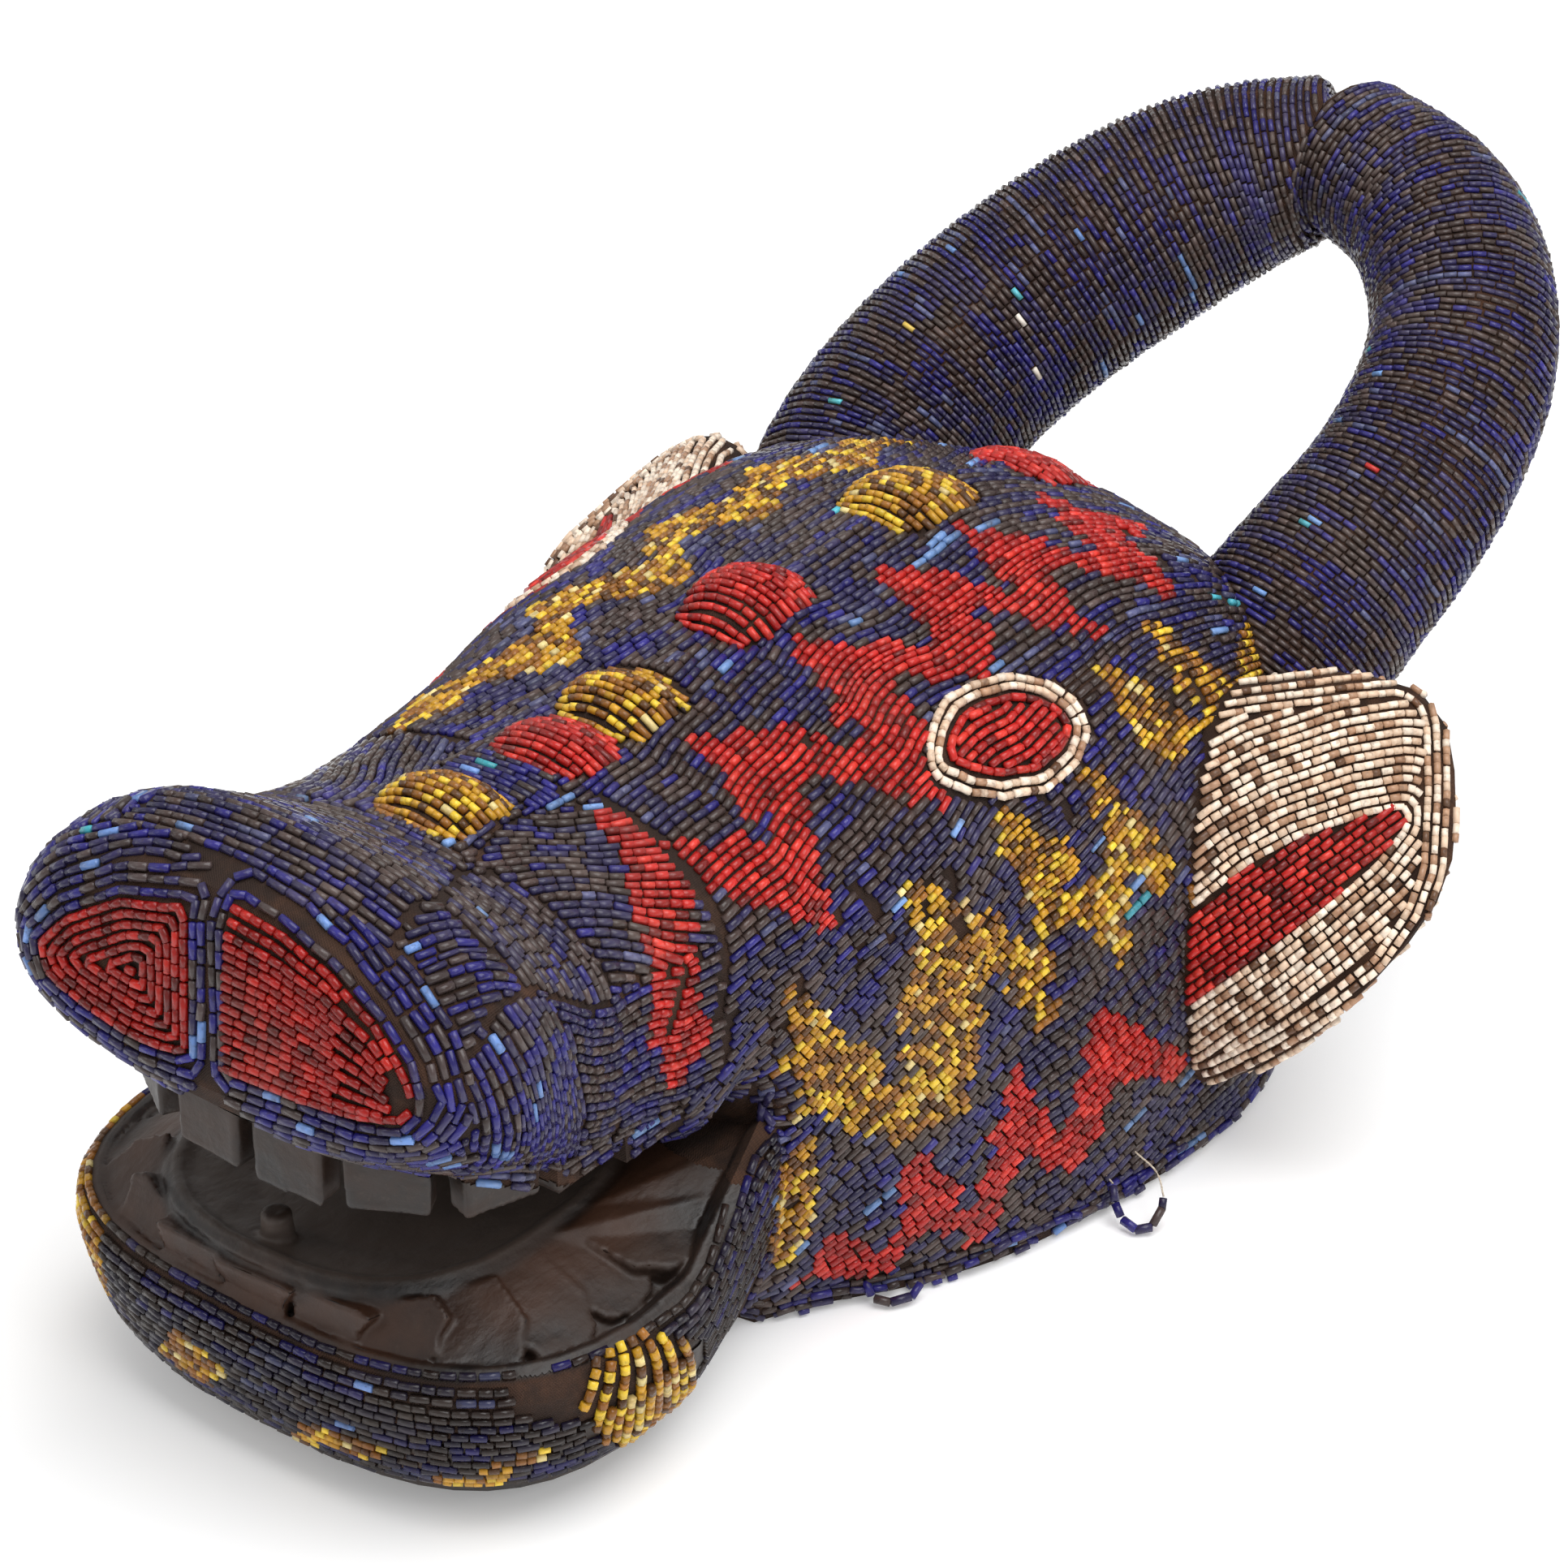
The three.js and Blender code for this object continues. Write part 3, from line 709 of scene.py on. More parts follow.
def offsetLine(outline, away, middle, count=240):  # a closed line at one distance from an outline, or several
    outlines = outline if isinstance(outline[0], list) else [outline]
    middle = np.asarray(middle, float)
    turns = np.linspace(0, 2 * math.pi, count)
    ways = np.stack([np.cos(turns), np.sin(turns)], 1)
    low, high = np.zeros(count), np.full(count, 220.0)  # further out than any outline goes
    for _ in range(20):  # each round halves the room that is left
        half = (low + high) / 2
        spots = middle + ways * half[:, None]
        distance = np.min([distanceTo(spots[:, 0], spots[:, 1], each) for each in outlines], axis=0)
        nearer = distance < away
        low, high = np.where(nearer, half, low), np.where(nearer, high, half)
    return middle + ways * low[:, None]


# Patterns of the near side: closed outlines, with their corners where they stand in the photo, in pixels

photoPatterns = {
    "redNear": {
        "kind": red,
        "corners": [
            (738, 986), (766, 1006), (802, 1020), (854, 1040), (884, 1050), (908, 1026), (938, 1044),
            (951, 1050), (950, 1014), (921, 1000), (899, 971), (878, 941), (855, 930), (853, 896),
            (884, 916), (912, 902), (966, 895), (1003, 907), (1040, 924), (1074, 897), (1036, 891),
            (1024, 880), (1027, 853), (1007, 841), (989, 823), (978, 803), (958, 787), (960, 775),
            (998, 791), (1048, 802), (1087, 784), (1121, 796), (1152, 808), (1146, 783), (1130, 756),
            (1114, 741), (1094, 724), (1063, 708), (1066, 702), (1120, 703), (1164, 706), (1186, 718),
            (1224, 724), (1249, 742), (1251, 722), (1235, 714), (1223, 699), (1203, 685), (1191, 663),
            (1172, 647), (1174, 638), (1194, 652), (1240, 659), (1286, 666), (1302, 675), (1342, 688),
            (1346, 677), (1331, 666), (1313, 648), (1299, 631), (1271, 614), (1273, 608), (1318, 626),
            (1368, 639), (1411, 653), (1409, 662), (1390, 667), (1405, 684), (1423, 699), (1444, 724),
            (1452, 748), (1428, 733), (1402, 722), (1349, 706), (1322, 699), (1300, 706), (1304, 725),
            (1318, 741), (1333, 760), (1364, 780), (1358, 788), (1339, 787), (1320, 776), (1264, 774),
            (1246, 761), (1206, 750), (1200, 757), (1221, 780), (1228, 814), (1217, 832), (1156, 840),
            (1112, 837), (1098, 839), (1105, 851), (1127, 879), (1143, 902), (1140, 943), (1172, 978),
            (1170, 993), (1118, 988), (1105, 973), (1058, 967), (1003, 950), (987, 976), (999, 1003),
            (1001, 1037), (1011, 1062), (1019, 1110), (1038, 1124), (1040, 1150), (1000, 1140),
            (966, 1119), (920, 1107), (880, 1094), (853, 1093), (852, 1143), (858, 1190), (857, 1222),
            (873, 1266), (864, 1290), (848, 1318), (843, 1338), (826, 1342), (811, 1300), (800, 1258),
            (799, 1205), (791, 1150), (775, 1100), (769, 1055), (750, 1034), (737, 1010),
        ],
    },
    "yellowLow": {
        "kind": yellow,
        "corners": [
            (964, 1212), (983, 1218), (998, 1230), (1017, 1241), (1036, 1260), (1048, 1280), (1075, 1287),
            (1091, 1310), (1091, 1333), (1103, 1334), (1121, 1321), (1131, 1306), (1110, 1303),
            (1110, 1288), (1140, 1277), (1120, 1271), (1105, 1256), (1109, 1218), (1124, 1203),
            (1124, 1150), (1125, 1128), (1116, 1110), (1108, 1084), (1136, 1082), (1160, 1098),
            (1184, 1109), (1203, 1117), (1226, 1125), (1237, 1137), (1240, 1155), (1262, 1156),
            (1278, 1162), (1283, 1148), (1262, 1110), (1253, 1094), (1249, 1069), (1250, 1057),
            (1235, 1046), (1231, 1028), (1223, 1010), (1226, 993), (1240, 984), (1246, 1002),
            (1263, 1009), (1268, 1020), (1286, 1032), (1303, 1028), (1316, 1046), (1327, 1060),
            (1326, 1071), (1309, 1081), (1307, 1093), (1328, 1088), (1342, 1080), (1363, 1080),
            (1378, 1079), (1366, 1068), (1359, 1047), (1358, 1025), (1353, 1014), (1359, 1006),
            (1344, 993), (1343, 980), (1331, 957), (1336, 936), (1361, 953), (1376, 968), (1388, 985),
            (1405, 1001), (1422, 1025), (1427, 1041), (1440, 1056), (1451, 1075), (1444, 1087),
            (1428, 1099), (1408, 1083), (1386, 1081), (1392, 1117), (1380, 1137), (1392, 1148),
            (1388, 1172), (1381, 1195), (1379, 1179), (1364, 1164), (1345, 1156), (1334, 1137),
            (1300, 1134), (1284, 1164), (1307, 1175), (1292, 1207), (1287, 1226), (1308, 1237),
            (1291, 1257), (1291, 1272), (1279, 1260), (1259, 1241), (1244, 1229), (1243, 1207),
            (1222, 1196), (1206, 1210), (1202, 1229), (1218, 1249), (1206, 1260), (1198, 1276),
            (1206, 1299), (1202, 1315), (1184, 1334), (1197, 1361), (1187, 1373), (1167, 1376),
            (1140, 1384), (1125, 1396), (1110, 1407), (1098, 1404), (1082, 1392), (1063, 1402),
            (1040, 1384), (1010, 1369), (966, 1384), (958, 1373), (997, 1353), (982, 1326), (958, 1320),
            (958, 1311), (985, 1284), (963, 1277), (978, 1245),
        ],
    },
    "yellowHigh": {
        "kind": yellow,
        "corners": [
            (1342, 813), (1366, 822), (1389, 834), (1414, 843), (1422, 857), (1443, 866), (1451, 879),
            (1478, 888), (1488, 884), (1472, 874), (1463, 861), (1449, 852), (1444, 832), (1425, 809),
            (1420, 788), (1408, 772), (1411, 762), (1436, 773), (1447, 786), (1470, 805), (1498, 824),
            (1522, 842), (1519, 810), (1524, 788), (1535, 769), (1556, 781), (1571, 796), (1580, 812),
            (1581, 838), (1550, 846), (1531, 846), (1512, 858), (1501, 868), (1499, 883), (1480, 892),
            (1466, 908), (1459, 932), (1450, 951), (1433, 941), (1404, 922), (1401, 905), (1386, 880),
            (1374, 864), (1362, 850), (1357, 833), (1345, 820),
        ],
    },
    "redLow": {
        "kind": red,
        "corners": [
            (1357, 1226), (1372, 1254), (1389, 1250), (1427, 1288), (1450, 1281), (1461, 1307),
            (1444, 1328), (1410, 1331), (1389, 1327), (1368, 1338), (1361, 1366), (1351, 1400),
            (1330, 1432), (1313, 1449), (1285, 1428), (1257, 1419), (1247, 1445), (1236, 1463),
            (1238, 1484), (1209, 1529), (1201, 1548), (1191, 1542), (1195, 1528), (1184, 1518),
            (1157, 1508), (1146, 1501), (1132, 1518), (1112, 1538), (1088, 1570), (1076, 1577),
            (1049, 1577), (1011, 1567), (994, 1574), (979, 1588), (979, 1574), (1001, 1556), (1011, 1542),
            (1011, 1524), (1039, 1511), (1084, 1539), (1101, 1525), (1108, 1497), (1105, 1483),
            (1115, 1442), (1126, 1406), (1157, 1428), (1181, 1466), (1184, 1483), (1195, 1487),
            (1209, 1463), (1205, 1449), (1219, 1438), (1219, 1386), (1236, 1376), (1243, 1334),
            (1254, 1302), (1268, 1345), (1281, 1352), (1295, 1386), (1306, 1393), (1313, 1376),
            (1326, 1366), (1330, 1331), (1340, 1310), (1337, 1289), (1340, 1262),
        ],
    },
    "strandBehindMouth": {
        "kind": yellow,
        "corners": [
            (1000, 1395), (1010, 1440), (1001, 1480), (995, 1520), (975, 1545), (955, 1565), (943, 1562),
            (948, 1530), (955, 1500), (950, 1452), (975, 1420), (985, 1400),
        ],
    },
}
farZigzags = {  # on the far side, in (u, v)
    "yellowFar": {
        "kind": yellow,
        "upper": [(-186, 66), (-165, 52), (-146, 62), (-120, 30), (-96, 60), (-60, 34), (-36, 56),
                  (-2, 34), (20, 52), (52, 30), (80, 50), (100, 44)],
        "lower": [(-186, 70), (-160, 84), (-142, 76), (-112, 62), (-92, 84), (-52, 58), (-30, 78),
                  (6, 60), (26, 76), (60, 58), (84, 70), (100, 48)],
    },
    "redFar": {
        "kind": red,
        "upper": [(-214, 100), (-190, 92), (-160, 118), (-132, 92), (-100, 116), (-74, 90), (-40, 118),
                  (-18, 92), (12, 116), (36, 92), (60, 110), (80, 100)],
        "lower": [(-214, 104), (-196, 134), (-160, 128), (-122, 142), (-100, 124), (-64, 140), (-40, 126),
                  (-6, 142), (12, 124), (46, 140), (60, 118), (80, 104)],
    },
    "yellowFarLow": {
        "kind": yellow,
        "upper": [(-160, 170), (-120, 176), (-108, 150), (-68, 190), (-58, 152), (-24, 188), (-14, 160),
                  (20, 196)],
        "lower": [(-160, 186), (-92, 228), (-84, 200), (-46, 224), (-40, 196), (-8, 216), (0, 196),
                  (20, 200)],
    },
    "redFarLow": {
        "kind": red,
        "upper": [(-140, 268), (-112, 246), (-84, 272), (-64, 242), (-42, 276), (-24, 232), (24, 272)],
        "lower": [(-140, 276), (-100, 292), (-80, 284), (-40, 300), (-22, 282), (19, 290), (24, 274)],
    },
}

eyePlan = {
    "outline": [(-85, 106), (-82, 98), (-70, 92), (-57, 87), (-43, 85), (-26, 90), (-14, 101), (-8, 114),
                (-11, 126), (-24, 133), (-43, 134), (-62, 131), (-75, 121)],
    "rings": 2, "pitch": 3.7, "middle": (-44, 109), "lift": 1.3,
    "gap": 0.8,  # between the cream rings and the red field
    "field": {"turn": -7, "pitch": 3.5, "bulge": 0.4, "inside": 0.95},
}

ridgePatches = [(-254, -214, yellow), (-215, -190, cobalt), (-191, -155, red), (-156, -119, yellow),
                (-89, -45, red), (7, 57, yellow), (91, 132, red)]  # from u, to u, kind
ridgePlan = {"half": 22.0, "power": 3.2, "pitch": 3.5, "lift": 1.1, "margin": 2, "step": 1.2}

nosePatches = [  # outline in (u, v), degrees from u and how they change along u, kind. The first lie on top
    {"outline": [(-360, -2), (-256, -2), (-256, 30), (-304, 56), (-360, 76)], "turn": 90, "kind": indigo},
    {"outline": [(-304, 56), (-262, 34), (-252, 46), (-252, 99), (-296, 99)], "turn": 88, "kind": slate},
    {"outline": [(-360, 76), (-304, 56), (-296, 99), (-360, 108)], "turn": 17, "kind": cobalt},
    {"outline": [(-360, 108), (-296, 99), (-286, 101), (-276, 132), (-262, 172), (-360, 172)], "turn": 86,
     "bend": -0.28, "kind": cobalt},
    {"outline": [(-296, 98), (-250, 98), (-190, 98), (-196, 150), (-262, 172), (-276, 132)], "turn": 3,
     "kind": indigo},
    {"outline": [(-258, 32), (-214, 22), (-184, 30), (-190, 100), (-252, 99), (-252, 46)], "turn": 28,
     "kind": indigo},
]
headRows = {
    "pitch": 3.7, "lipRows": 3,  # the last rows follow the lip and the rim
    "cell": 1.5, "wander": 0.35,
    "slateLow": 200, "slateBehind": -60,  # past this v and behind this u the blue turns to slate
    "frontY": -325, "frontSlope": -0.36,  # the nose front: skin before this, whose normal's y is below this
}
headFlow = {  # which way the rows run: degrees, and from where to where they turn
    "cheek": (95, 180), "cheekTurn": 17, "frontTurn": 0.17, "frontU": -60, "frontLength": 130,
    "bridge": (90, 140), "bridgeTurn": 10, "bridgeU": -132, "bridgeLength": 40,
    "brow": (35, 100), "browTurn": 27, "browSide": (50, 110),
}


def headKinds(u, v):  # the colour of the lengthwise strings at (u, v)
    side = np.where(v < 0, -1, 1)
    low = np.abs(v)
    kinds = np.full(np.shape(u), indigo)
    kinds[(low > headRows["slateLow"]) & (u > headRows["slateBehind"])] = slate
    for plan in farZigzags.values():
        upper, lower = np.array(plan["upper"]).T, np.array(plan["lower"]).T
        within = (u > max(upper[0][0], lower[0][0])) & (u < min(upper[0][-1], lower[0][-1]))
        band = (low > np.interp(u, *upper)) & (low < np.interp(u, *lower))
        kinds[within & band & (side < 0)] = plan["kind"]
    x, y = photoSpots(head.at(u, v)[0])
    for plan in photoPatterns.values():
        kinds[inside(x, y, plan["corners"]) & (side > 0)] = plan["kind"]
    return kinds


def headTurn(u, v):  # which way the strings run at (u, v), in degrees from the length of the head
    low, flow = np.abs(v), headFlow
    front = np.clip(flow["frontU"] - u, 0, flow["frontLength"])
    turn = -smooth(*flow["cheek"], low) * (flow["cheekTurn"] + flow["frontTurn"] * front)
    bridge = np.exp(-((u - flow["bridgeU"]) / flow["bridgeLength"]) ** 2)
    turn = turn - flow["bridgeTurn"] * bridge * (1 - smooth(*flow["bridge"], low))
    return turn + flow["browTurn"] * smooth(*flow["brow"], u) * (1 - smooth(*flow["browSide"], low))


def ridgeShare(u, v, fromU, toU):  # below 1 on a patch of the ridge
    along, across = (u - (fromU + toU) / 2) / ((toU - fromU) / 2), v / ridgePlan["half"]
    return np.abs(along) ** ridgePlan["power"] + np.abs(across) ** ridgePlan["power"]


def onRidge(u, v):
    found = np.zeros(np.shape(u), bool)
    for fromU, toU, _ in ridgePatches:
        found |= ridgeShare(u, v, fromU, toU) < 1
    return found


def onEye(u, v):
    return inside(u, np.abs(v), eyePlan["outline"])


def onNoseFront(u, normals):
    return (u < headRows["frontY"]) & (normals[..., 1] < headRows["frontSlope"])


def wander(u, v, size):  # sewn rows are never quite straight
    return size * np.array([noise.noise(Vector((a / 26, b / 17, 0.3))) for a, b in zip(u, v)])


laying = {  # how evenLines lays its rows. Shares are of the pitch
    "step": 1.5,  # from point to point of a line
    "start": 0.86, "close": 0.71,  # how near a neighbour a line may start, and where it ends
    "gapStart": 0.62, "gapClose": 0.56,  # the same for the lines that fill what is left
    "single": 1.2,  # steps that a lone bead reaches to each side
    "beside": 0.45, "away": 1.8, "farthest": 1.9,  # a neighbour lies between the first two, or there is none
    "slab": 1.2,  # how far along a line its neighbours are looked for
    "evened": 5,  # points in each mean
}


def evenLines(regions, turns, fromU, fromV, cell, pitch):  # lines one pitch apart, along a field of angles
    step, filled, lines = laying["step"], {}, []

    def crowded(u, v, gap):
        i, k, gap = int(u // pitch), int(v // pitch), gap * gap
        for a in (i - 1, i, i + 1):
            for b in (k - 1, k, k + 1):
                for p, q in filled.get((a, b), ()):
                    if (p - u) ** 2 + (q - v) ** 2 < gap:
                        return True
        return False

    def regionAt(u, v):
        i, k = int((u - fromU) / cell), int((v - fromV) / cell)
        if 0 <= i < regions.shape[0] and 0 <= k < regions.shape[1]:
            return regions[i, k]
        return 0

    def turnAt(u, v):
        return turns[int((u - fromU) / cell), int((v - fromV) / cell)]

    def isFree(u, v, share):
        return regionAt(u, v) and not crowded(u, v, share * pitch)

    def grow(u, v, close, single=False):  # a line through (u, v), or room for a lone bead
        own, halves = regionAt(u, v), []
        for sign in (1, -1):
            p, q, half = u, v, []
            for _ in range(600):
                turn = turnAt(p, q)
                p, q = p + math.cos(turn) * step * sign, q + math.sin(turn) * step * sign
                if crowded(p, q, close * pitch):
                    break
                region = regionAt(p, q)
                if region:
                    half.append((p, q))
                if region != own:
                    break
            halves.append(half)
        line = halves[1][::-1] + [(u, v)] + halves[0]
        if len(line) < 3:
            if not single:
                return
            turn, reach = turnAt(u, v), laying["single"]
            line = [(u + math.cos(turn) * step * at, v + math.sin(turn) * step * at)
                    for at in (-reach, 0, reach)]
        for p, q in line:
            filled.setdefault((int(p // pitch), int(q // pitch)), []).append((p, q))
        lines.append(line)

    def neighbours(start):
        while start < len(lines):
            line = lines[start]
            for place in range(1, len(line) - 1, 3):
                (a, b), (c, d) = line[place - 1], line[place + 1]
                size = math.hypot(c - a, d - b) or 1
                for sign in (1, -1):
                    u = line[place][0] - (d - b) / size * pitch * sign
                    v = line[place][1] + (c - a) / size * pitch * sign
                    if isFree(u, v, laying["start"]):
                        grow(u, v, laying["close"])
            start += 1

    def roomAt(line, place):  # how far the next strings are on both sides, and which way is left
        u, v = line[place]
        (a, b), (c, d) = line[max(place - 1, 0)], line[min(place + 1, len(line) - 1)]
        size = math.hypot(c - a, d - b) or 1
        x, y = -(d - b) / size, (c - a) / size
        left = right = laying["farthest"] * pitch
        i, k = int(u // pitch), int(v // pitch)
        for m in range(i - 2, i + 3):
            for n in range(k - 2, k + 3):
                for p, q in filled.get((m, n), ()):
                    across = (p - u) * x + (q - v) * y
                    if abs((p - u) * y - (q - v) * x) < laying["slab"]:
                        if laying["beside"] * pitch < across < left:
                            left = across
                        elif laying["beside"] * pitch < -across < right:
                            right = -across
        left, right = (pitch if side > laying["away"] * pitch else side for side in (left, right))
        return left, right, x, y

    def settle():  # every line moves to the middle of its room, and its beads fill it
        told, count = [], laying["evened"]
        kernel = np.ones(count) / count
        for line in lines:
            moved, rooms = [], []
            for place, (u, v) in enumerate(line):
                left, right, x, y = roomAt(line, place)
                moved.append((u + x * (left - right) / 4, v + y * (left - right) / 4))
                rooms.append((left + right) / 2)
            moved, rooms = np.array(moved), np.array(rooms)
            if len(line) > 8:
                padded = np.pad(moved, ((count // 2, count // 2), (0, 0)), "edge")
                moved = np.stack([np.convolve(padded[:, axis], kernel, "valid") for axis in (0, 1)], 1)
                rooms = np.convolve(np.pad(rooms, count // 2, "edge"), kernel, "valid")
            told.append((moved, rooms))
        return told

    toU, toV = fromU + regions.shape[0] * cell, fromV + regions.shape[1] * cell
    for start in (fromU * 0.55 + toU * 0.45, fromU):  # first from the middle of the head back, then the rest
        for u in np.arange(start, toU, 4.0):
            for v in np.arange(fromV, toV, pitch / 2):
                if isFree(u, v, laying["start"]):
                    first = len(lines)
                    grow(u, v, laying["close"])
                    neighbours(first)
    for u in np.arange(fromU, toU, 2.0):
        for v in np.arange(fromV, toV, 1.0):
            if isFree(u, v, laying["gapStart"]):
                grow(u, v, laying["gapClose"], single=True)
    return settle()


def sewHeadRows(strings):
    cell, pitch = headRows["cell"], headRows["pitch"]
    us = np.arange(headNet["fromY"], headNet["toY"], cell)
    vs = np.arange(0, headNet["reach"], cell)
    u, v = np.meshgrid(us, vs, indexing="ij")
    patchKinds = [bare, bare] + [patch["kind"] for patch in nosePatches]
    for side in (1, -1):
        regions = np.ones(u.shape, int)
        turns = headTurn(u, v)
        for number, patch in reversed(list(enumerate(nosePatches))):
            chosen = inside(u, v, patch["outline"])
            regions[chosen] = number + 2
            turns[chosen] = patch["turn"] + patch.get("bend", 0) * (u[chosen] - patch["outline"][0][0])
        points, normals = head.at(u, v * side)
        hidden = onRidge(u, v * side) | onEye(u, v) | (v > rimAt(u, side) - headRows["lipRows"] * pitch)
        hidden |= np.isnan(points).any(axis=-1) | onNoseFront(u, normals)
        regions[hidden] = 0
        for line, rooms in evenLines(regions, np.radians(turns), us[0], 0.0, cell, pitch):
            p, q = line.T
            own = regions[int((p[len(p) // 2] - us[0]) / cell), int(q[len(q) // 2] / cell)]
            q = q + wander(p, q, headRows["wander"])
            points, normals = head.at(p, q * side)
            kinds = headKinds(p, q * side)
            if own > 1:  # a patch of the nose: only the red band runs on over it
                kinds[kinds != red] = patchKinds[own]
            strings[side].sew(points, normals, kinds, rooms)


def sewRidge(strings):
    half, margin, pitch = ridgePlan["half"], ridgePlan["margin"], ridgePlan["pitch"]
    v = np.arange(-half - margin, half + margin, ridgePlan["step"])
    for fromU, toU, kind in ridgePatches:
        for u in np.arange(fromU + pitch / 2, toU, pitch):
            points, normals = head.at(np.full(len(v), u), v)
            kinds = np.where(ridgeShare(u, v, fromU, toU) < 1, kind, bare)
            strings[1].sew(points, normals, kinds, pitch, ridgePlan["lift"])


def sewLip(strings):  # the last strings follow the edge of the lip and the rim
    u = np.arange(headNet["fromY"], headNet["toY"], headRows["cell"])
    for side in (1, -1):
        for row in range(headRows["lipRows"]):
            v = (rimAt(u, side) - (row + 0.5) * headRows["pitch"]) * side
            points, normals = head.at(u, v)
            kinds = np.where(onNoseFront(u, normals), bare, indigo)
            strings[side].sew(points, normals, kinds)


def sewEye(strings):
    outline, pitch, rings, field = (eyePlan[key] for key in ("outline", "pitch", "rings", "field"))
    for side in (1, -1):
        for number in range(rings + 1):
            away = -(number + 0.5) * pitch - (eyePlan["gap"] if number == rings else 0)
            line = offsetLine(outline, away, eyePlan["middle"])
            points, normals = head.at(line[:, 0], line[:, 1] * side)
            kinds = np.full(len(line), cream if number < rings else red)
            strings[side].sew(points, normals, kinds, pitch, eyePlan["lift"])
        for u, v in fibreLines(outline, field["turn"], field["pitch"], 1.0):
            edge = -(rings + field["inside"]) * pitch - eyePlan["gap"]
            kinds = np.where(distanceTo(u, v, outline) < edge, red, bare)
            points, normals = head.at(u, v * side)
            strings[side].sew(points, normals, kinds, field["pitch"], eyePlan["lift"] + field["bulge"])


borderPlan = {
    "fromU": -150.0, "toU": 112.0, "step": 1.5,
    "waves": [  # down, height, length, lift
        (-2.6, 1.6, 61.0, 2.0), (-6.0, 2.4, 83.0, 2.5), (-0.6, 1.0, 47.0, 3.2),
    ],
    "phase": 1.7, "edge": 0.3,  # from one string's waves to the next, and what stays free below them
    "gaps": {"length": 31, "phase": 2.4, "below": -0.88},  # where a string is missing
    "loops": [  # loose ends below the rim on the near side, as (x, y, z)
        [(137, -18, 13), (142, -23, 7), (149, -25, 2.8), (156, -24, 2.8), (157, -16, 5), (156, -12, 12)],
        [(97, -120, 9), (101, -121, 4), (107, -119, 2.8), (112, -113, 2.8), (112, -105, 6)],
    ],
    "loopPitch": 4.2, "seamLift": 2.4,
    "threads": [
        [(156, -12, 12), (151, -10, 20), (141, -10, 25)],
        [(137, -18, 13), (132, -19, 18)],
    ],
    # Two strings by where they stand in the photo: before the ear, and behind the corner of the mouth
    "seam": [(1462, 1088), (1467, 1117), (1468, 1150), (1467, 1180), (1466, 1204)],
    "corner": [(946, 1335), (948, 1362), (946, 1392), (940, 1430)],
}


def sewBorder(strings):
    plan, gaps = borderPlan, borderPlan["gaps"]
    u = np.arange(plan["fromU"], plan["toU"], plan["step"])
    for side in (1, -1):
        for number, (down, height, wave, lift) in enumerate(plan["waves"]):
            swing = np.sin(u / wave * 2 * math.pi + number * plan["phase"] + side) * height
            v = np.minimum(rimAt(u, side) + down + swing, rimAt(u, side) - plan["edge"]) * side
            points, normals = head.at(u, v)
            whole = np.sin(u / gaps["length"] + number * gaps["phase"] + side) > gaps["below"]
            strings[side].sew(points, normals, np.where(whole, cobalt, bare), lift=lift)
    for loop in plan["loops"]:
        points, _ = curveThrough(loop, 60)
        up = np.tile((0.0, 0.0, 1.0), (len(points), 1))
        strings[1].sew(points, up, np.full(len(points), cobalt), plan["loopPitch"], 0.0)
    for name, kind in (("seam", yellow), ("corner", cobalt)):
        line, _ = curveThrough([(*headSpot(*corner), 0) for corner in plan[name]], 40)
        points, normals = head.at(line[:, 0], line[:, 1])
        strings[1].sew(points, normals, np.full(len(line), kind), lift=plan["seamLift"])


headStrings = {1: Strings("near_side_beads", 11), -1: Strings("far_side_beads", 12)}
sewHeadRows(headStrings)
sewRidge(headStrings)
sewLip(headStrings)
sewEye(headStrings)
sewBorder(headStrings)
print("head strings", len(headStrings[1].places), len(headStrings[-1].places))


# Front of the nose: two red nostrils, with blue strings round them. Outlines are (x, z)


noseFront = {
    "near": [(5, 249), (28, 247), (50, 241), (70, 231), (83, 220), (89, 206), (84, 198), (66, 194), (42, 192),
             (10, 189)],
    "far": [(-10, 244), (-41, 236), (-66, 220), (-79, 205), (-73, 194), (-54, 189), (-31, 186), (-7, 188)],
    "nearMiddle": (46, 214), "farMiddle": (-36, 211), "middle": (0, 213),
    "pitch": 3.7, "lift": 0.8, "rings": 18, "fromY": -420.0,
    "nearUpper": [(5, 249), (28, 247), (50, 241), (70, 231), (83, 219), (89, 206)],
    "nearLower": [(5, 189), (42, 191), (66, 194), (84, 199), (89, 205)],
    "nearSpan": (6.5, 88, 1.2),  # x of the rows in the near nostril: from, to, step
    "nostrilLift": 1.1, "between": 0.4,  # between is what stays free where the two blues meet
    "fullRoom": 2.7, "halfRoom": 1.4,  # with less room than this every other row ends, and then the rest
}


def frontSpots(x, z):
    def kept(place, normal):
        return place.y <= headRows["frontY"] and normal.y <= headRows["frontSlope"]

    rays = [((a, noseFront["fromY"], b), (0, 1, 0)) for a, b in zip(x, z)]
    return castOnto(headSkin, rays, kept, blank=(0, -1, 0))


def evened(values, count):  # the mean of each value and its neighbours round a loop
    return sum(np.roll(values, shift, axis=0) for shift in range(-count, count + 1)) / (2 * count + 1)


def widerLoop(loop, pitch):  # the next string out, one pitch away along the skin
    tangent = np.roll(loop, -1, axis=0) - np.roll(loop, 1, axis=0)
    out = np.stack([tangent[:, 1], -tangent[:, 0]], 1) / np.linalg.norm(tangent, axis=1)[:, None]
    _, normals = frontSpots(*loop.T)
    slope = (normals[:, 0] * out[:, 0] + normals[:, 2] * out[:, 1]) / np.minimum(normals[:, 1], -0.15)
    step = pitch / np.sqrt(1 + slope ** 2)
    return evened(loop + out * evened(step, 6)[:, None], 2)


